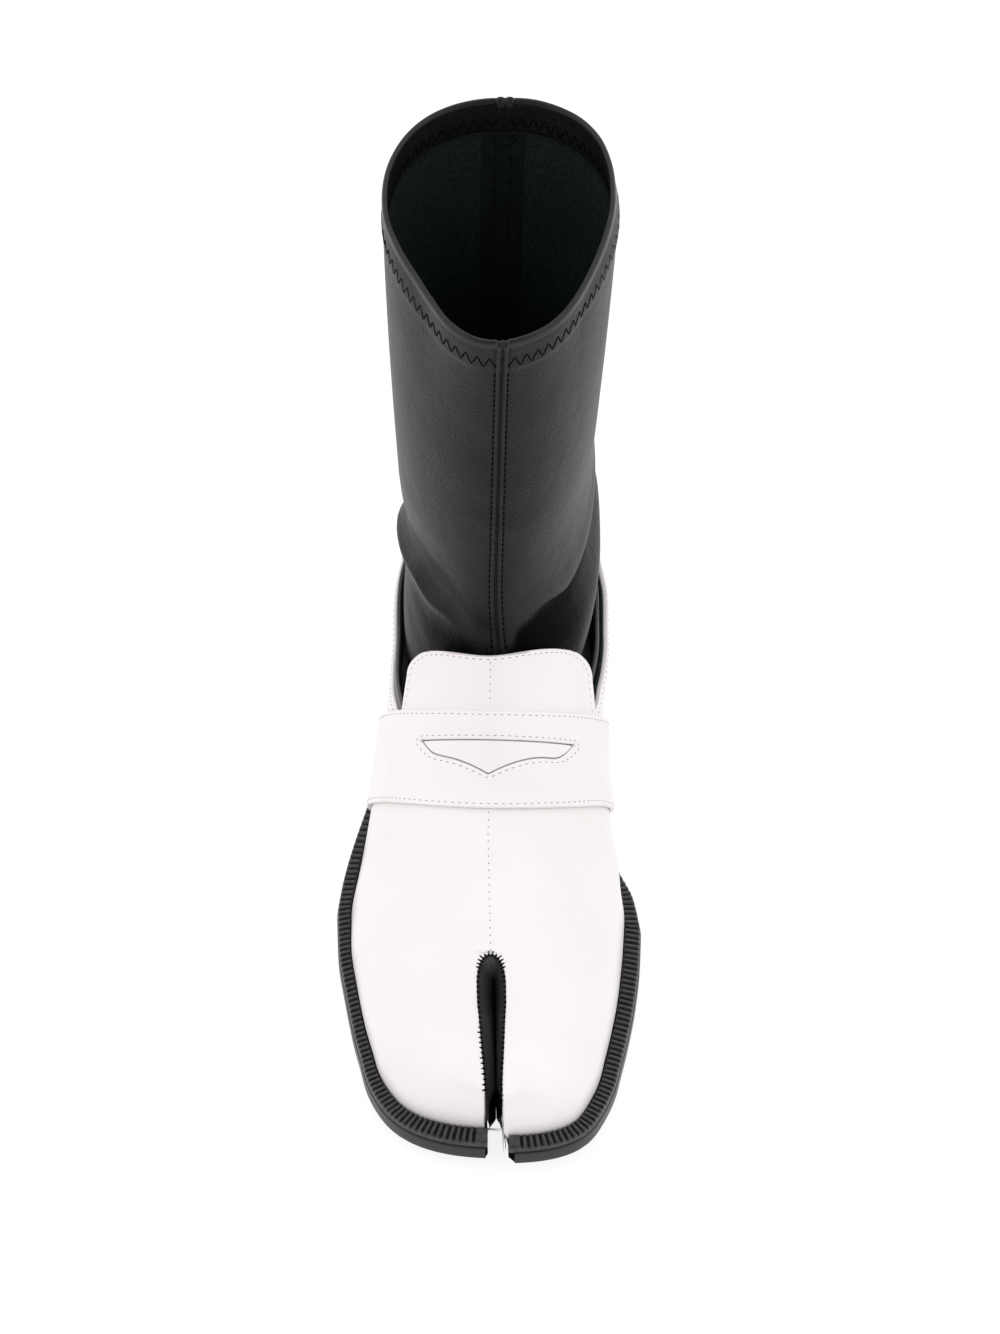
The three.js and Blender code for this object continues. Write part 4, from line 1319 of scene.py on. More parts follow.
    def build_heel(self) -> None:
        """Makes the heel block and the top lift under it."""
        for layer in HEEL_LAYERS:
            points = []
            for inset, z in layer.rows:
                x, s = self.heel_ring(self.heel_inset + inset, self.breast_lean * (1 - 2 * z / HEEL_HEIGHT))
                height = np.minimum(z, LAST.underside(s) - GAP)
                points.append(np.stack([x, s - LENGTH / 2, height], axis=-1))
            grid = np.array(points)
            grid = np.concatenate((grid, grid[:, :1]), axis=1)
            bm = bmesh.new()
            add_grid(bm, grid)
            bmesh.ops.remove_doubles(bm, verts=bm.verts, dist=0.002 * MM)
            bmesh.ops.holes_fill(bm, edges=[edge for edge in bm.edges if edge.is_boundary], sides=400)
            finish_mesh(layer.piece, bm, [self.finishes.edge], Slot.RUBBER, [layer.node], merge=0.002)

    def build(self) -> None:
        """Makes all of the sole."""
        self.build_outsole()
        self.build_welt()
        self.build_heel()


@dataclass
class Upper:
    """White vamp with its split toe, the quarters round the heel, and the leather between the toes."""

    finishes: Finishes
    rows: int = 46
    edge: float = 0.45
    pitch: float = 2.6
    pin: float = 0.2
    prong: float = 1.15
    tick: float = 0.2
    prong_radius: float = 0.36
    prong_pitch: float = 1.2
    roll_depth: float = 9.0
    front_meets: float = 16.5
    front_slope: float = 0.52
    meet_shift: float = 1.0
    meet_back: float = 4.0
    meet_half: float = 0.06
    collar_depth: float = 12.0
    row_power: float = 1.6

    def clear(self, side: Side, p: np.ndarray) -> np.ndarray:
        """Distance from the cleft and the throat, above 0 where the white leather is."""
        return np.minimum(LAST.cleft_clear(side, p, 0.0), LAST.throat_clear(p, 0.0))

    def first_column(self, side: Side, clear: Callable[[np.ndarray], np.ndarray], margin: float) -> float:
        """Share along a side of the first section outside the cleft.

        Args:
            side: Which side.
            clear: Distance from a cut, above 0 where the sheet is kept.
            margin: How far outside.

        Returns:
            The share.
        """
        t = np.linspace(0, 0.1, 2001)
        kept = clear(LAST.body(side, t, 0.0)) > margin
        return float(t[kept.argmax()])

    def columns(self, side: Side, clear: Callable[[np.ndarray], np.ndarray]) -> np.ndarray:
        """Shares along a side where the upper's sections are taken.

        Args:
            side: Which side.
            clear: Distance from a cut, above 0 where the sheet is kept.

        Returns:
            The shares, rising.
        """
        end = LAST.cleft_length - GAP
        half = LAST.cleft_round
        round_end = end - half + half * np.sin(np.linspace(0, math.pi / 2, 26))
        throat = LAST.strap_s + JOIN * LAST.cos
        shared = LAST.t_of_ridge(
            np.concatenate(
                (
                    np.linspace(18, end - half, 26)[:-1],
                    round_end,
                    np.linspace(end, throat - 4, 36)[1:-1],
                    np.linspace(throat - 4, throat + 22, 24)[:-1],
                    np.linspace(throat + 22, 266, 84),
                )
            )
        )
        start = self.first_column(side, clear, 0.12)
        front = start + (shared[0] - start) * np.linspace(0, 1, 30)[:-1] ** 1.5
        return np.concatenate((front, shared, np.linspace(shared[-1], 1, 14)[1:]))

    def build_vamp(self) -> None:
        """Makes the white leather body of the loafer."""
        bm = bmesh.new()
        for side in Side:
            clear = partial(self.clear, side)
            t = self.columns(side, clear)
            top = LAST.top_share(side, t, clear)
            v = np.linspace(0, 1, self.rows + 1)[:, None] ** self.row_power * top[None, :]
            add_grid(bm, LAST.body(side, LAST.rounded(side, t[None, :], v, TOE_ENDS[side].lobe), v))
        piece = finish_mesh("upper_white", bm, [self.finishes.white], Slot.WHITE, ["upper"])
        thicken(piece, WALL, self.edge)

    def cleft_columns(self, side: Side, grow: float) -> np.ndarray:
        """Shares along a side of the sections that the cleft cuts, for the leather between the toes.

        Args:
            side: Which side.
            grow: How far the edge is moved out.

        Returns:
            The shares, rising.
        """
        end = LAST.cleft_length - GAP + grow
        half = LAST.cleft_round
        straight = np.linspace(16, end - half, 30)[:-1]
        round_end = end - half + half * np.sin(np.linspace(0, math.pi / 2, 26))
        shared = LAST.t_of_ridge(np.concatenate((straight, round_end)))
        start = self.first_column(side, partial(LAST.cleft_clear, side, grow=grow), 0.15)
        front = start + (shared[0] - start) * np.linspace(0, 1, 34)[:-1] ** 1.3
        return np.concatenate((front, shared))

    def build_gusset(self) -> None:
        """Makes the black leather between the toes: two walls that roll in from the rim until they meet."""
        bm = bmesh.new()
        bm.verts.layers.float.new(PAINTED_SHADE)
        for side in Side:
            t = self.cleft_columns(side, -0.05)
            width = TOE_ENDS[side].gusset
            rows = []
            for grow, sink in ((1.6, 2.2), (0.9, 2.0), (0.1, 0.8), (-0.05, 0.35)):
                v = LAST.top_share(side, t, partial(LAST.cleft_clear, side, grow=grow))
                rows.append(LAST.offset(side, LAST.rounded(side, t, v, width), v, -sink))
            lip = rows[-1]
            x, s, z = lip[:, 0], lip[:, 1] + LENGTH / 2, lip[:, 2]
            floor = LAST.sole_top(s) + GAP
            depth = np.minimum(self.roll_depth, 0.65 * (z - floor))
            opening = np.clip((self.front_meets - s) * self.front_slope, 0, TOE_ENDS[side].opening)
            away = np.abs(x - LAST.cleft_x(s))
            meets = np.minimum(s, LAST.cleft_length - self.meet_back)
            # Painted shade: the walls darken in colour and gloss towards the line where they meet, more so
            # further back.
            shade = [np.ones(len(t))] * len(rows)
            painted_shade_from = lerp(0.72, 0.2, smooth(between(s, 18, 50)))
            for share in np.linspace(0, 1, 15)[1:]:
                ease = smooth(share)
                shade.append(1 - 0.92 * smooth(np.clip((share - painted_shade_from) / (1 - painted_shade_from), 0, 1)))
                row_s = lerp(s, meets, ease)
                out = lerp(away, self.meet_half + opening, ease)
                row_x = LAST.cleft_x(row_s) + self.meet_shift * ease + side.value * out
                rows.append(np.stack([row_x, row_s - LENGTH / 2, z - depth * share], axis=-1))
            bottom = rows[-1]
            for share in (0.3, 0.65, 1.0):
                row = bottom.copy()
                row[:, 2] = lerp(bottom[:, 2], floor, share)
                rows.append(row)
                shade.append(shade[-1])
            add_grid(bm, np.array(rows), 0, np.array(shade))
            if width > 0:
                self.add_corner(bm, side, t[0])
        finish_mesh("cleft_gusset", bm, [self.finishes.gusset], Slot.BLACK, ["toe_gusset"], merge=0.03)

    def add_corner(self, bm: bmesh.types.BMesh, side: Side, start: float) -> None:
        """Adds the black leather that shows under a lobe's round corner.

        Args:
            bm: Mesh that takes it.
            side: Which side.
            start: Share along the side where it starts.
        """
        reach = (TOE_ENDS[side].lobe + 1.2) / LAST.paths[side].total
        v = 0.13 * np.linspace(0, 1, 12)[:, None] ** self.row_power
        t = start + reach * np.linspace(0, 1, 14)[None, :]
        points = LAST.offset(side, LAST.rounded(side, t, v, TOE_ENDS[side].gusset), v, -0.7)
        add_grid(bm, points, 0, np.ones(points.shape[:2]))

    def build_prongs(self) -> None:
        """Sews over the cleft's edge: long prongs round its end, short ticks down its sides."""
        bm = bmesh.new()
        for side in Side:
            clear = partial(self.clear, side)
            t = self.columns(side, clear)
            t = t[t < LAST.t_of_ridge(LAST.cleft_length - GAP + 0.01)]
            v = LAST.top_share(side, t, clear)
            rim, normals = LAST.body(side, t, v), LAST.normal(side, t, v)
            far = distances(rim)
            forward = unit(np.gradient(rim, axis=0))
            outward = unit(np.cross(forward, normals)) * side.value
            sizes, places = [], []
            back = 0.5 * self.prong_pitch
            while back < far[-1] - 9:
                places.append(far[-1] - back)
                close = 1 - smooth(between(np.array(back), 5.0, 9.0))
                front = smooth(between(np.array(back), 24.0, 28.0)) * (side is Side.LATERAL)
                uneven = 0.25 * math.sin(2.4 * len(places)) + 0.15 * math.sin(5.1 * len(places))
                size = self.tick + (self.prong - self.tick) * close + 0.65 * front
                sizes.append(float(size * (1 + uneven)))
                back += self.prong_pitch * (1 + 0.5 * float(1 - close))
            at = read_line(rim, far, places)
            out, up = (unit(read_line(values, far, places)) for values in (outward, normals))
            size = np.array(sizes)[:, None]
            ends = np.stack([at - out * 0.9 - up * 0.5, at + out * size + up * 0.12], axis=1)
            SEWING.thread(bm, ends, up, self.prong_radius)
        finish_stitches("cleft_overcast", bm, self.finishes.black_thread, Slot.BLACK)

    def edge_line(self, side: Side, drop: float, start: float) -> tuple[np.ndarray, np.ndarray]:
        """Line a distance under the topline, and the normals along it, from s = start to the heel.

        Args:
            side: Which side.
            drop: Distance under the topline.
            start: Distance from the toe.

        Returns:
            Points and unit vectors.
        """
        t = np.linspace(float(LAST.t_of_ridge(np.array(start))), 1, 160)
        v = LAST.top_share(side, t, partial(LAST.throat_clear, grow=-drop))
        return LAST.body(side, t, v), LAST.normal(side, t, v)

    def build_stitches(self) -> None:
        """Sews the vamp's middle line, and a row under the topline."""
        bm = bmesh.new()
        start, end = LAST.cleft_length - 0.3, LAST.strap_s - 1.5
        t = LAST.t_of_ridge(np.linspace(start, end, 60))
        line = LAST.body(Side.LATERAL, t, 1.0)
        up = unit(np.cross(np.array([1.0, 0, 0]), np.gradient(line, axis=0)))
        SEWING.row(bm, line, up, self.pitch, 0.7, self.pin)
        for side in Side:
            line, normals = self.edge_line(side, 2.2, LAST.strap_s + 22)
            SEWING.row(bm, line, normals, self.pitch, 1.2, self.pin)
        finish_stitches("upper_stitches", bm, self.finishes.white_thread, Slot.WHITE)

    def build_collar(self) -> None:
        """Makes the layers inside the topline: a brushed one, and a folded leather one that rises higher."""
        layers = (
            ("collar_lining", 1.9, 0.9, 0.9, self.finishes.lining, ()),
            ("collar_binding", 2.95, 2.1, 3.5, self.finishes.binding, ("quarter_lining",)),
        )
        for name, inside, thickness, rise, finish, stands_for in layers:
            bm = bmesh.new()
            for side in Side:
                t = np.linspace(float(LAST.t_of_ridge(np.array(LAST.strap_s + 20.0))), 1, 150)
                top = LAST.top_share(side, t, partial(LAST.throat_clear, grow=rise))
                low = LAST.top_share(side, t, partial(LAST.throat_clear, grow=-self.collar_depth))
                v = lerp(low[None, :], top[None, :], np.linspace(0, 1, 14)[:, None])
                add_grid(bm, LAST.offset(side, t[None, :], v, -inside))
            piece = finish_mesh(name, bm, [finish], Slot.LINING, stands_for)
            thicken(piece, thickness, 0.45 * thickness, 3)

    def build(self) -> None:
        """Makes the upper."""
        self.build_vamp()
        self.build_gusset()
        self.build_prongs()
        self.build_stitches()
        self.build_collar()


@dataclass
class Instep:
    """Strap with its opening, and the tongue that comes out from under it."""

    finishes: Finishes
    strap: float = 1.6
    middle: float = 2.7
    seam_shift: float = -2.7
    slit_width: float = 50.0
    strap_half: float = 38.0
    front_sag: float = 4.2
    back_sag: float = 2.1
    backing_sink: float = 0.25
    backing_gap: float = 0.45
    slit_depth: float = 12.0
    slit_ends: float = 5.7
    slit_from: float = 11.8
    tongue_length: float = 16.5
    tongue_half: float = 33.0
    tongue_lean: float = 0.04
    tongue_tip: float = 30.5
    tongue_corner: float = 8.0
    tongue_dip: float = 3.3
    welt_height: float = 4.2
    margin: float = 1.3
    pitch: float = 2.45
    pin: float = 0.19
    map: SlopeMap = field(init=False)

    def __post_init__(self) -> None:
        """Tabulates the instep once."""
        self.map = SlopeMap(LAST)

    def slit_front(self, x: np.ndarray) -> np.ndarray:
        """Front edge of the opening: distance up the slope at each X, or its back edge outside it.

        Args:
            x: X of points.

        Returns:
            A value for each.
        """
        back = STRAP_WIDTH - self.slit_from
        half = self.slit_width / 2
        far = np.abs(x - self.middle)
        corner = back - self.slit_ends
        tip = back - self.slit_depth
        end = corner + self.slit_ends * np.clip((far - (half - 7)) / 7, 0, 1) ** 2.2
        toward = 1 - between(np.abs(x - self.middle - self.seam_shift), 0, half - 6.5)
        dent = corner - (corner - tip) * toward**1.75
        return np.where(far >= half, back, np.where(far > half - 7, end, np.minimum(corner, dent)))

    def sag(self, x: np.ndarray) -> np.ndarray:
        """How much of its sag the strap's edge has at each X, 1 at the middle."""
        return np.clip(1 - (x / self.strap_half) ** 2, 0, 1)

    def strap_columns(self, side: Side) -> np.ndarray:
        """Shares from the sole's edge to the middle line, with one through the opening's end.

        Args:
            side: Which side.

        Returns:
            The shares, rising.
        """
        back = STRAP_WIDTH - self.slit_from
        corner_x = self.middle + side.value * self.slit_width / 2
        v_end = float(self.map.locate(side, np.array([corner_x]), np.array([back]))[1][0])
        outer = np.linspace(0, v_end, 46)[:-1]
        turn = v_end + (1 - v_end) * 0.3 * np.linspace(0, 1, 14)[:-1] ** 1.6
        inner = np.linspace(v_end + (1 - v_end) * 0.3, 1, 26)
        return np.concatenate((outer, turn, inner))

    def build_strap(self) -> None:
        """Makes the strap across the instep, down to the welt on both sides."""
        back = STRAP_WIDTH - self.slit_from
        front_rows, back_rows = 14, 8
        grow = GAP + self.strap
        bm = bmesh.new()
        for side in Side:
            v = self.strap_columns(side)
            split = np.full(len(v), back)
            for _ in range(12):
                t = LAST.t_at(side, split, v)
                split = self.slit_front(LAST.body(side, t, v)[:, 0])
            opened = back - split > 0.02
            sag = self.sag(LAST.body(side, LAST.t_at(side, np.full(len(v), back), v), v)[:, 0])
            front_edge, back_edge = -self.front_sag * sag, STRAP_WIDTH - self.back_sag * sag
            first = lerp(front_edge[None, :], split[None, :], np.linspace(0, 1, front_rows + 1)[:, None])
            last = lerp(back, back_edge[None, :], np.linspace(0, 1, back_rows + 1)[:, None])
            for part, along in enumerate((first, last)):
                low = self.low_share(side, along)
                shares = low + (1 - low) * v[None, :]
                t = LAST.t_at(side, along, shares)
                points = LAST.offset(side, t, shares, grow)
                if part == 0:
                    points[-1, ~opened] = self.edge_points(side, v[~opened], back, grow)
                add_grid(bm, points)
        piece = finish_mesh("strap_white", bm, [self.finishes.white], Slot.WHITE, ["strap"])
        thicken(piece, self.strap, 0.45)

    def low_share(self, side: Side, along: np.ndarray) -> np.ndarray:
        """Share of the face's height where the strap stops over the welt.

        Args:
            side: Which side.
            along: Distances up the slope.

        Returns:
            A value for each.
        """
        v = np.linspace(0.02, 0.4, 39)
        t = LAST.t_at(side, along[..., None], v)
        p = LAST.body(side, t, v)
        height = p[..., 2] - LAST.sole_top(p[..., 1] + LENGTH / 2)
        return v[(height > self.welt_height).argmax(axis=-1)]

    def edge_points(self, side: Side, v: np.ndarray, along: float, grow: float) -> np.ndarray:
        """Points of the strap at one distance up the slope.

        Args:
            side: Which side.
            v: Shares from the sole's edge to the middle line.
            along: Distance up the slope.
            grow: How far out of the face.

        Returns:
            The points.
        """
        row = np.full(len(v), along)
        low = self.low_share(side, row)
        shares = low + (1 - low) * v
        return LAST.offset(side, LAST.t_at(side, row, shares), shares, grow)

    def tongue_half_at(self, along: np.ndarray) -> np.ndarray:
        """Half width of the tongue at a distance up the slope.

        Args:
            along: Distances up the slope.

        Returns:
            A value for each.
        """
        end = STRAP_WIDTH + self.tongue_length + self.tongue_dip
        share = between(along, STRAP_WIDTH, end - self.tongue_corner)
        straight = lerp(self.tongue_half, self.tongue_tip + 1, share)
        turn = between(along, end - self.tongue_corner, end)
        return straight - self.tongue_corner * (1 - np.sqrt(np.clip(1 - turn**2.2, 0, 1)))

    def tongue_end(self, x: np.ndarray) -> np.ndarray:
        """End of the tongue up the slope at each X, with its dip over the seam.

        Args:
            x: X of points.

        Returns:
            A value for each.
        """
        end = STRAP_WIDTH + self.tongue_length + self.tongue_dip
        far = np.abs(x - self.middle - self.seam_shift) / self.tongue_tip
        end = end + self.tongue_lean * x - 0.3
        return end - self.tongue_dip * (1 - smooth(np.clip(far * 1.25, 0, 1)))

    def tongue_grid(
        self, inset: float, rows: int, columns: int, grow: float
    ) -> tuple[np.ndarray, np.ndarray]:
        """Points over the tongue inside a margin, and the normals there.

        Args:
            inset: Margin from the tongue's edge.
            rows: How many rows.
            columns: How many columns.
            grow: How far out of the face.

        Returns:
            Points and unit vectors.
        """
        start = JOIN + 2 * GAP
        full = STRAP_WIDTH + self.tongue_length + self.tongue_dip - 0.002
        r = np.linspace(0, 1, rows)[:, None] ** 0.8
        q = np.linspace(-1, 1, columns)[None, :]
        q = np.sign(q) * (1 - (1 - np.abs(q)) ** 1.35)
        y = start + (full - start) * r * np.ones_like(q)
        half = self.tongue_half_at(y) - inset
        x = self.middle + q * half
        y = y - inset * r - (full - self.tongue_end(x)) * r**3
        return self.map.point(x, y, grow)

    def build_tongue(self) -> None:
        """Makes the tongue with its round corners and its dipped end."""
        points, _ = self.tongue_grid(0.0, 40, 61, 0.0)
        bm = bmesh.new()
        add_grid(bm, points)
        piece = finish_mesh("tongue_white", bm, [self.finishes.white], Slot.WHITE, ["tongue"])
        thicken(piece, WALL, 0.4)

    def slit_outline(self, out: float) -> np.ndarray:
        """Outline of the opening moved out by a margin: X and distance up the slope.

        Args:
            out: The margin.

        Returns:
            Points that close the outline.
        """
        back = STRAP_WIDTH - self.slit_from
        half = self.slit_width / 2
        x = self.middle + half * np.sin(np.linspace(-math.pi / 2, math.pi / 2, 90))
        front = np.stack([x, self.slit_front(x)], axis=-1)
        rear = np.stack([np.linspace(x[-1], x[0], 60), np.full(60, back)], axis=-1)[1:-1]
        ring = np.concatenate((front, rear))
        ahead = np.roll(ring, -1, axis=0) - np.roll(ring, 1, axis=0)
        ahead = unit(ahead)
        moved = ring + np.stack([ahead[:, 1], -ahead[:, 0]], axis=-1) * out
        return np.concatenate((moved, moved[:1]))

    def build_backing(self) -> None:
        """Makes the leather that fills the strap's opening, just under its face."""
        back = STRAP_WIDTH - self.slit_from
        half = self.slit_width / 2 - self.backing_gap
        x = self.middle + half * np.sin(np.linspace(-math.pi / 2, math.pi / 2, 80))
        rows = np.linspace(0, 1, 12)[:, None]
        spread = self.middle + (x - self.middle) * self.slit_width / (2 * half - self.backing_gap)
        along = lerp(self.slit_front(spread)[None, :] + self.backing_gap, back - self.backing_gap, rows)
        grow = GAP + self.strap - self.backing_sink
        points, _ = self.map.point(np.broadcast_to(x, along.shape), along, grow)
        bm = bmesh.new()
        add_grid(bm, points)
        piece = finish_mesh("strap_backing", bm, [self.finishes.white], Slot.WHITE)
        thicken(piece, 0.6, 0.1)

    def strap_line(self, along: float, sag: float, grow: float) -> tuple[np.ndarray, np.ndarray]:
        """Line across the strap at a distance up the slope, from the lateral welt to the medial one.

        Args:
            along: Distance up the slope.
            sag: Of the strap's edge beside it.
            grow: How far out of the face.

        Returns:
            Points and unit vectors.
        """
        lines, normals = [], []
        for side in Side:
            row = np.full(90, along)
            v = np.linspace(0.02, 1, 90)
            row = along - sag * self.sag(LAST.body(side, LAST.t_at(side, row, v), v)[:, 0])
            low = self.low_share(side, row)
            v = low + (1 - low) * np.linspace(0.02, 1, 90)
            t = LAST.t_at(side, row, v)
            points, out = LAST.offset(side, t, v, grow), LAST.normal(side, t, v)
            turn = slice(None) if side is Side.LATERAL else slice(-2, None, -1)
            lines.append(points[turn])
            normals.append(out[turn])
        return np.concatenate(lines), np.concatenate(normals)

    def build_stitches(self) -> None:
        """Sews the strap's edges, the opening's outline, and the tongue's edge and middle line."""
        bm = bmesh.new()
        grow = GAP + self.strap - 0.04
        for along, sag in ((self.margin, self.front_sag), (STRAP_WIDTH - self.margin, self.back_sag)):
            line, normals = self.strap_line(along, sag, grow)
            SEWING.row(bm, line, normals, self.pitch, 1.2, self.pin)
        ring = self.slit_outline(1.3)
        line, normals = self.map.point(ring[:, 0], ring[:, 1], grow)
        SEWING.row(bm, line, normals, self.pitch, 1.2, self.pin)
        points, normals = self.tongue_grid(1.3, 40, 61, -0.04)
        line = np.concatenate((points[:, 0], points[-1, 1:], points[-2::-1, -1]))
        out = np.concatenate((normals[:, 0], normals[-1, 1:], normals[-2::-1, -1]))
        SEWING.row(bm, line, out, self.pitch, 1.1, self.pin)
        y = np.linspace(STRAP_WIDTH + 1, STRAP_WIDTH + self.tongue_length - 1.5, 30)
        line, normals = self.map.point(np.full(30, self.middle + self.seam_shift), y, 0.0)
        SEWING.row(bm, line, normals, self.pitch, 0.7, self.pin)
        finish_stitches("strap_stitches", bm, self.finishes.white_thread, Slot.WHITE)

    def build(self) -> None:
        """Makes the strap and the tongue."""
        self.build_strap()
        self.build_backing()
        self.build_tongue()
        self.build_stitches()


class Fold(NamedTuple):
    """Crease of the shaft, or the painted shade along one: its path in degrees and height, where it fades, and
    its profile across.
    """

    path: tuple[tuple[float, float], ...]
    fade: tuple[float, float, float, float]
    profile: tuple[tuple[float, float], ...]

    def depth(self, z: np.ndarray, around: np.ndarray) -> np.ndarray:
        """Profile of the crease, or of its painted shade, at points of the shaft.

        Args:
            z: Height of each point.
            around: Its place round the shaft, in degrees.

        Returns:
            A value for each point.
        """
        start, full, stays, end = self.fade
        strength = smooth(between(around, start, full)) * (1 - smooth(between(around, stays, end)))
        return strength * Curve(*zip(*self.profile))(z - Curve(*zip(*self.path))(around))


FOLDS = (
    Fold(
        (
            (-130, 80), (-100, 90), (-84, 94.5), (-72, 97), (-58, 99.5), (-48, 99), (-37, 99.8), (-26, 97.4),
            (-10, 92),
        ),
        (-128, -95, -48, -14),
        ((-26, 0.6), (-12, 0.6), (-4, 1.6), (0, 2.7), (2.4, 0.9), (6, -1.3), (11, -1.8), (18, -0.6), (28, 0)),
    ),
    Fold(
        (
            (10, 104), (35, 104), (45, 102), (54, 100), (65, 100), (78, 101), (91, 104), (106, 112),
            (125, 118), (150, 118),
        ),
        (14, 56, 112, 148),
        (
            (-36, 0.4), (-19, 3.4), (-7, 0.3), (-2.4, -2.2), (-0.8, -1.8), (0.8, 1.6), (3, 1.8), (12, 0.8),
            (26, 0),
        ),
    ),
    Fold(
        ((-150, 58), (-30, 58)),
        (-145, -115, -60, -32),
        ((-20, 2.6), (-2, 2.6), (8, 1.8), (20, 0.0)),
    ),
    Fold(
        ((-25, 152), (25, 146)),
        (-24, -8, 8, 24),
        ((-20, 0.0), (-10, -0.2), (-3, 0.25), (4, -0.25), (11, 0.2), (20, 0.0)),
    ),
)
# Painted shade round the ankle creases: colour and gloss darkened below each crease, lighter just above it,
# darker again higher up.
PAINTED_SHADES = (
    Fold(
        (
            (-130, 79), (-100, 88), (-84, 93), (-72, 95.5), (-58, 98), (-48, 98), (-37, 98.5), (-26, 96),
            (-10, 91), (12, 90),
        ),
        (-130, -62, -8, 10),
        (
            (-34, 0.3), (-20, 0.66), (-9, 0.84), (-3, 0.62), (2, 0.16), (5, 0.05), (7.5, 0.1), (13, 0.4),
            (19, 0.16), (28, 0),
        ),
    ),
    Fold(
        (
            (-8, 88), (6, 94), (16, 102), (22, 103), (34, 104), (44, 102), (54, 100), (65, 100), (78, 101),
            (91, 104), (106, 112), (125, 118), (150, 118),
        ),
        (-8, 16, 44, 92),
        ((-40, 0.3), (-28, 0.62), (-12, 0.86), (-3, 0.88), (0.8, 0.1), (3, 0.0)),
    ),
)


@dataclass
class Shaft:
    """Black stretch-leather shaft with seams at front and back and a facing turned over its rim."""

    finishes: Finishes
    wall: float = 1.3
    band: float = 13.0
    band_step: float = 0.4
    ridge: float = 0.85
    ridge_middle: float = 1.25
    ridge_half: float = 0.95
    groove: float = 0.2
    groove_at: float = 2.5
    groove_half: float = 0.4
    front_seam: float = 2.0
    base_columns: int = 220
    zigzag_pitch: float = 4.1
    zigzag_height: float = 4.6
    zigzag_drop: float = 9.4
    thread: float = 0.3
    strip_half: float = 6.2

    def __post_init__(self) -> None:
        """Makes the curves of the shaft's table."""
        steps = np.linspace(0, 1, len(SHAFT_ROWS))
        self.rim = Curve(*zip(*RIM))
        self.curves = {
            name: Curve(steps, [getattr(row, name) for row in SHAFT_ROWS]) for name in ShaftRow._fields
        }

    def place(self, share: np.ndarray, angle: np.ndarray) -> np.ndarray:
        """Points of the shaft's plain face.

        Args:
            share: Share of the way from its lower end to the rim.
            angle: Round the shaft, 0 at the front seam, growing towards the medial side.

        Returns:
            Points.
        """
        share, angle = np.broadcast_arrays(np.asarray(share, float), np.asarray(angle, float))
        row = {name: curve(share) for name, curve in self.curves.items()}
        front_s, back_s = row["front"] * LENGTH, row["back"] * LENGTH
        front_z, back_z = row["front_z"] * COLLAR_FRONT, row["back_z"] * COLLAR_BACK
        half = row["half"] * COLLAR_WIDTH
        u = np.cos(angle)
        x = row["middle"] * COLLAR_WIDTH + self.front_seam * np.maximum(0, u) ** 2
        x = x + half * np.sin(angle) * (1 - row["egg"] * u)
        s = (front_s + back_s) / 2 - (back_s - front_s) / 2 * u
        shift = self.rim(np.degrees(np.mod(angle + math.pi, 2 * math.pi)) - 180)
        fade = np.where(shift > 0, between(share, 0.72, 1), between(share, 0.93, 1))
        x = x + shift * smooth(fade) * np.sin(angle)
        s = s - shift * smooth(fade) * u
        z = (front_z + back_z) / 2 - (back_z - front_z) / 2 * u
        return np.stack([x, s - LENGTH / 2, z], axis=-1)

    def outward(self, share: np.ndarray, angle: np.ndarray) -> np.ndarray:
        """Level unit vectors out of the shaft.

        Args:
            share: Shares of the way up the shaft.
            angle: Angles round it.

        Returns:
            The vectors.
        """
        step = self.place(share, angle + 0.01) - self.place(share, angle - 0.01)
        return unit(np.stack([step[..., 1], -step[..., 0], np.zeros_like(step[..., 0])], axis=-1))

    def columns(self) -> tuple[np.ndarray, np.ndarray]:
        """Angles of the columns, and each one's distance from its seam where it is beside one.

        Returns:
            The angles and the distances.
        """
        across = np.concatenate((np.linspace(0, 2.1, 12), [2.22, 2.36, 2.5, 2.64, 2.8, 3.1, 3.7, 4.5]))
        near = np.concatenate((-across[1:][::-1], across))
        free = np.linspace(0, math.pi, self.base_columns // 2 + 1)
        free = free[(free > 0.14) & (free < math.pi - 0.14)]
        base = np.concatenate((np.zeros(len(near)), free, np.full(len(near), math.pi), free + math.pi))
        shift = np.concatenate((near, np.zeros(len(free)), near, np.zeros(len(free))))
        return base, shift

    def seam(self, shift: np.ndarray) -> np.ndarray:
        """Height of the two ridges beside a seam, at a distance from it.

        Args:
            shift: Distances from the seam.

        Returns:
            A value for each.
        """
        far = (np.abs(shift) - self.ridge_middle) / self.ridge_half
        beside = (np.abs(shift) - self.groove_at) / self.groove_half
        cord = np.where(shift == 0, 0, self.ridge * np.sqrt(np.clip(1 - far**2, 0, 1)))
        return cord - self.groove * np.clip(1 - beside**2, 0, 1)

    def shade(self, share: np.ndarray, angle: np.ndarray) -> np.ndarray:
        """Painted shade round the ankle creases: share of its colour and gloss that the leather keeps."""
        return 1 - np.clip(self.read_folds(PAINTED_SHADES, share, angle), 0, 0.92)

    def relief(self, share: np.ndarray, angle: np.ndarray) -> np.ndarray:
        """How far the folds lift or sink the leather."""
        return self.read_folds(FOLDS, share, angle)

    def read_folds(self, folds: Sequence[Fold], share: np.ndarray, angle: np.ndarray) -> np.ndarray:
        """Sum of the folds' profiles at points of the shaft.

        Args:
            folds: Creases, or the painted shade along them.
            share: Shares of the way up the shaft.
            angle: Angles round it.

        Returns:
            A value for each.
        """
        z = self.place(share, angle)[..., 2]
        around = np.degrees(np.mod(angle + math.pi, 2 * math.pi)) - 180
        return sum(fold.depth(z, around) for fold in folds)

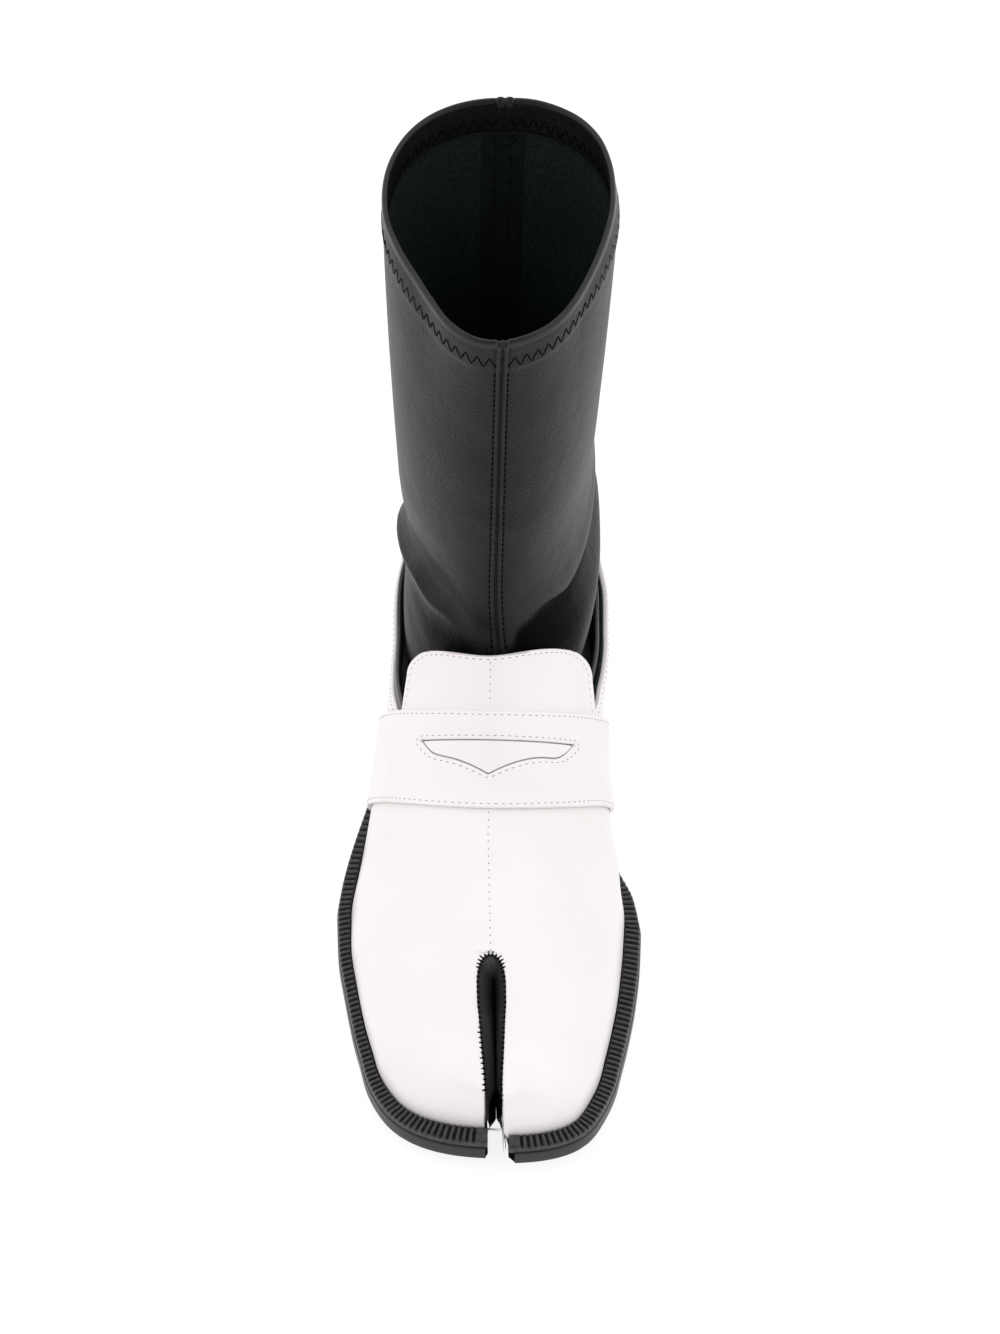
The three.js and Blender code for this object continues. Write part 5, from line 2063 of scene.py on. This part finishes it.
    def painted_shades(self, shares: Sequence[float]) -> np.ndarray:
        """Painted shade at each point of rows round the shaft, closed to a ring.

        Args:
            shares: Shares of the rows up the shaft.

        Returns:
            Rows of values.
        """
        base, shift = self.columns()
        share = np.array(shares)[:, None]
        half = self.curves["half"](share) * COLLAR_WIDTH
        kept = self.shade(share, base[None, :] + shift[None, :] / half)
        return np.concatenate((kept, kept[:, :1]), axis=1)

    def face(self, share: np.ndarray, grow: float, seams: float) -> np.ndarray:
        """Rows of points round the shaft.

        Args:
            share: Shares of the rows up the shaft.
            grow: How far out of the plain face.
            seams: Share of the seams' height.

        Returns:
            Rows of points.
        """
        base, shift = self.columns()
        half = self.curves["half"](share) * COLLAR_WIDTH
        angle = base[None, :] + shift[None, :] / half[:, None]
        share = share[:, None]
        beside = np.where(shift == 0, np.where(np.isin(base, (0.0, math.pi)), 1e-6, 99.0), shift)
        lift = grow + seams * self.seam(beside)[None, :] + self.relief(share, angle)
        return self.place(share, angle) + self.outward(share, angle) * lift[..., None]

    def build(self) -> None:
        """Makes the shaft as one closed tube: outside, rim and lining."""
        last = len(SHAFT_ROWS) - 1
        top = SHAFT_ROWS[-1].front_z - SHAFT_ROWS[-2].front_z
        per_mm = 1 / (COLLAR_FRONT * top * last)
        band = 1 - self.band * per_mm
        below = (np.linspace(0, 0.18, 14)[:-1], np.linspace(0.18, 0.5, 60)[:-1])
        levels = np.concatenate((*below, np.linspace(0.5, band - 0.8 * per_mm, 44)))
        facing = np.linspace(band + 1.2 * per_mm, 1 - 1.6 * per_mm, 9)
        outside = [(share, 0.0, 1.0) for share in levels]
        outside += [(band - 0.3 * per_mm, 0.1, 1.0), (band, 0.3, 1.0)]
        outside.append((band + 0.4 * per_mm, self.band_step, 1.0))
        outside += [(share, self.band_step, 1.0) for share in facing]
        lip = self.wall + self.band_step
        middle = (self.band_step - lip) / 2
        radius = (self.band_step + lip) / 2
        for angle in np.radians([20, 45, 70, 90, 110, 135, 160]):
            drop = (1 - math.sin(angle)) * radius * 1.5
            outside.append((1 - drop * per_mm, middle + radius * math.cos(angle), 0.6))
        inside = [(share, -lip, -0.5) for share in np.linspace(1 - 1.6 * per_mm, band + 1.2 * per_mm, 8)]
        inside += [(band + 0.4 * per_mm, -lip, -0.4), (band, -self.wall - 0.2, -0.3)]
        inside.append((band - 0.3 * per_mm, -self.wall, 0.0))
        lining = [(share, -self.wall, 0.0) for share in np.linspace(band - 0.3 * per_mm, 0, 50)]
        rows = outside + inside
        grid = np.concatenate([self.face(np.array([share]), grow, seams) for share, grow, seams in rows])
        inner = np.concatenate([self.face(np.array([share]), grow, seams) for share, grow, seams in lining])
        bm = bmesh.new()
        bm.verts.layers.float.new(PAINTED_SHADE)
        grid, inner = (np.concatenate((points, points[:, :1]), axis=1) for points in (grid, inner))
        # The outside carries the painted shade round the ankle creases.
        faces = add_grid(bm, grid, 0, self.painted_shades([row[0] for row in rows]))
        lip_rows = slice(len(outside) - 9, len(outside) + 1)
        columns = grid.shape[1] - 1
        for face in faces[lip_rows.start * columns : lip_rows.stop * columns]:
            face.material_index = 2
        add_grid(bm, inner, 1)
        add_grid(bm, np.stack([inner[-1], grid[0]]), 0)
        materials = [self.finishes.black, self.finishes.lining, self.finishes.rim]
        finish_mesh("shaft_leather", bm, materials, Slot.BLACK, ["shaft"], merge=0.01)
        self.build_strip(band)
        self.build_stitches(band, per_mm)

    def on_face(self, share: np.ndarray, angle: np.ndarray, grow: float, seams: float) -> np.ndarray:
        """Points of the leather, over its seams and folds.

        Args:
            share: Shares of the way up the shaft.
            angle: Angles round it.
            grow: How far out of the plain face.
            seams: Share of the seams' height.

        Returns:
            The points.
        """
        half = self.curves["half"](share) * COLLAR_WIDTH
        turn = np.mod(angle + math.pi / 2, math.pi) - math.pi / 2
        lift = grow + seams * np.maximum(0, self.seam(turn * half + 1e-6)) + self.relief(share, angle)
        return self.place(share, angle) + self.outward(share, angle) * lift[..., None]

    def build_strip(self, band: float) -> None:
        """Makes the strip that covers the back seam inside.

        Args:
            band: Share at which the facing starts.
        """
        share = np.linspace(0.3, band - 0.004, 50)[:, None]
        half = self.curves["half"](share) * COLLAR_WIDTH
        across = np.linspace(-self.strip_half, self.strip_half, 17)[None, :]
        edge = np.where(np.abs(across) > self.strip_half - 0.1, 0.0, 0.45)
        angle = math.pi + across / half
        points = self.place(share, angle) - self.outward(share, angle) * (self.wall + 0.02 + edge)[..., None]
        bm = bmesh.new()
        add_grid(bm, points)
        finish_mesh("seam_strip", bm, [self.finishes.strip], Slot.LINING, recalculate=False)

    def build_stitches(self, band: float, per_mm: float) -> None:
        """Sews the zigzag under the rim, outside and inside, and the rows beside both seams.

        Args:
            band: Share at which the facing starts.
            per_mm: Share for each millimetre at the rim.
        """
        bm = bmesh.new()
        rim = self.place(np.array(1.0), np.linspace(0, 2 * math.pi, 721))
        arc = distances(rim)
        count = 2 * round(arc[-1] / self.zigzag_pitch)
        angle = np.interp(np.linspace(0, arc[-1], count + 1), arc, np.linspace(0, 2 * math.pi, 721))
        swing = np.where(np.arange(count + 1) % 2, 0.5, -0.5) * self.zigzag_height
        share = 1 - (self.zigzag_drop + swing) * per_mm
        lip = self.wall + self.band_step
        for grow, seams, way in ((self.band_step, 1.0, 1.0), (-lip, -0.5, -1.0)):
            line = self.on_face(share, angle, grow, seams)
            ends = np.stack([line[:-1], line[1:]], axis=1)
            middle = (angle[:-1] + angle[1:]) / 2
            SEWING.thread(bm, ends, self.outward(share[:-1], middle) * way, self.thread)
        low = 0.27
        for at in (0.0, math.pi):
            for beside in (-self.groove_at, self.groove_at):
                share = np.linspace(low, band - 0.01, 80)
                half = self.curves["half"](share) * COLLAR_WIDTH
                turned = at + beside / half
                line = self.on_face(share, turned, -0.1, 0.0)
                SEWING.row(bm, line, self.outward(share, turned), 2.3, 1.35, 0.3)
        for beside in (-2.3, 2.3):
            share = np.linspace(0.32, band - 0.01, 80)
            turned = math.pi + beside / (self.curves["half"](share) * COLLAR_WIDTH)
            line = self.place(share, turned) - self.outward(share, turned) * (self.wall + 0.5)
            SEWING.row(bm, line, -self.outward(share, turned), 2.6, 1.6, 0.22)
        turn = np.linspace(0, 2 * math.pi, 49)
        share = 1 - (self.band + 3.2 + 2.0 * np.sin(turn)) * per_mm
        turned = math.pi + 3.6 * np.cos(turn) / (self.curves["half"](share) * COLLAR_WIDTH)
        line = self.place(share, turned) - self.outward(share, turned) * (self.wall + 0.5)
        SEWING.row(bm, line, -self.outward(share, turned), 1.3, 1.2, 0.25)
        finish_stitches("shaft_stitches", bm, self.finishes.black_thread, Slot.BLACK)


class SoftLight(NamedTuple):
    """Square light: its place and size in metres, and its power in watts."""

    name: str
    place: tuple[float, float, float]
    size: float
    power: float


LIGHTS = (SoftLight("key", (-0.9, -1.4, 2.0), 1.2, 15.0), SoftLight("fill", (1.1, -1.2, 1.8), 1.2, 9.4))


@dataclass
class Studio:
    """Pale floor, soft lights and the camera of the photograph."""

    elevation: float = math.radians(48)
    azimuth: float = math.radians(1.6)
    distance: float = 2000.0
    focal_pixels: float = 6000.0
    frame_height: float = 1334.0
    look: tuple[float, float, float] = (2.5, 2.0, 100.0)
    right_shift: float = 0.667
    up_shift: float = -4.57
    sensor: float = 36.0
    sky: float = 1.1
    sky_dim: float = 0.21
    dim_elevation: float = math.radians(34)
    dim_from: float = 0.6
    dim_to: float = 0.94
    floor_half: float = 6.0
    floor_grey: float = 0.2
    floor_glow: float = 0.86

    def build_camera(self) -> None:
        """Puts the camera where the photograph was taken from."""
        ce, se = math.cos(self.elevation), math.sin(self.elevation)
        ca, sa = math.cos(self.azimuth), math.sin(self.azimuth)
        back = Vector((sa * ce, -ca * ce, se))
        right = Vector((ca, sa, 0))
        up = back.cross(right)
        look = Vector(self.look) + right * self.right_shift + up * self.up_shift
        camera = bpy.data.objects.new("camera", bpy.data.cameras.new("camera"))
        camera.data.sensor_width = self.sensor
        camera.data.lens = self.sensor * self.focal_pixels / self.frame_height
        camera.data.clip_start, camera.data.clip_end = 0.05, 50
        camera.location = (look + back * self.distance) * MM
        camera.rotation_mode = "QUATERNION"
        camera.rotation_quaternion = (-back).to_track_quat("-Z", "Y")
        bpy.context.scene.collection.objects.link(camera)
        bpy.context.scene.camera = camera

    def build_light(self, soft: SoftLight) -> None:
        """Adds a soft square light that faces the boot.

        Args:
            soft: The light.
        """
        data = bpy.data.lights.new(soft.name, "AREA")
        data.shape = "SQUARE"
        data.size = soft.size
        data.energy = soft.power
        light = bpy.data.objects.new(soft.name, data)
        light.location = soft.place
        light.visible_glossy = False
        light.rotation_mode = "QUATERNION"
        light.rotation_quaternion = (Vector((0, 0, 0.1)) - Vector(soft.place)).to_track_quat("-Z", "Y")
        bpy.context.scene.collection.objects.link(light)

    def build_floor(self) -> None:
        """Makes the pale floor."""
        bm = bmesh.new()
        bmesh.ops.create_grid(bm, x_segments=1, y_segments=1, size=self.floor_half)
        mesh = bpy.data.meshes.new("floor")
        bm.to_mesh(mesh)
        bm.free()
        floor = bpy.data.objects.new("floor", mesh)
        material = bpy.data.materials.new("floor")
        material.use_nodes = True
        shader = material.node_tree.nodes["Principled BSDF"]
        shader.inputs["Base Color"].default_value = (self.floor_grey, self.floor_grey, self.floor_grey, 1)
        shader.inputs["Roughness"].default_value = 0.9
        shader.inputs["Specular IOR Level"].default_value = 0.0
        shader.inputs["Emission Color"].default_value = (1, 1, 1, 1)
        shader.inputs["Emission Strength"].default_value = self.floor_glow
        mesh.materials.append(material)
        bpy.context.scene.collection.objects.link(floor)

    def build(self) -> None:
        """Makes the whole studio."""
        scene = bpy.context.scene
        scene.view_settings.view_transform = "Standard"
        world = bpy.data.worlds.new("world")
        world.use_nodes = True
        background = world.node_tree.nodes["Background"]
        background.inputs["Color"].default_value = (1, 1, 1, 1)
        tree, links = world.node_tree, world.node_tree.links
        toward = add_node(tree, "VectorMath", {}, "DOT_PRODUCT")
        toward.inputs[1].default_value = (0.0, -math.cos(self.dim_elevation), math.sin(self.dim_elevation))
        reach = {"From Min": self.dim_from, "From Max": self.dim_to}
        dim = add_node(tree, "MapRange", {**reach, "To Min": self.sky, "To Max": self.sky_dim})
        dim.interpolation_type = "SMOOTHSTEP"
        links.new(add_node(tree, "TexCoord", {}).outputs["Generated"], toward.inputs[0])
        links.new(toward.outputs["Value"], dim.inputs["Value"])
        links.new(dim.outputs["Result"], background.inputs["Strength"])
        scene.world = world
        for soft in LIGHTS:
            self.build_light(soft)
        self.build_floor()
        self.build_camera()


def main() -> None:
    """Loads the frame, builds each part of the boot and logs its face count."""
    logging.basicConfig(level=logging.INFO, format="%(name)s: %(message)s")
    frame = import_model()
    finishes = make_finishes()
    Studio().build()
    Sole(finishes).build()
    Upper(finishes).build()
    Instep(finishes).build()
    Shaft(finishes).build()
    insole = frame["nodes"]["insole"]
    insole.data.materials.clear()
    insole.data.materials.append(finishes.insole)


if __name__ == "__main__":
    main()
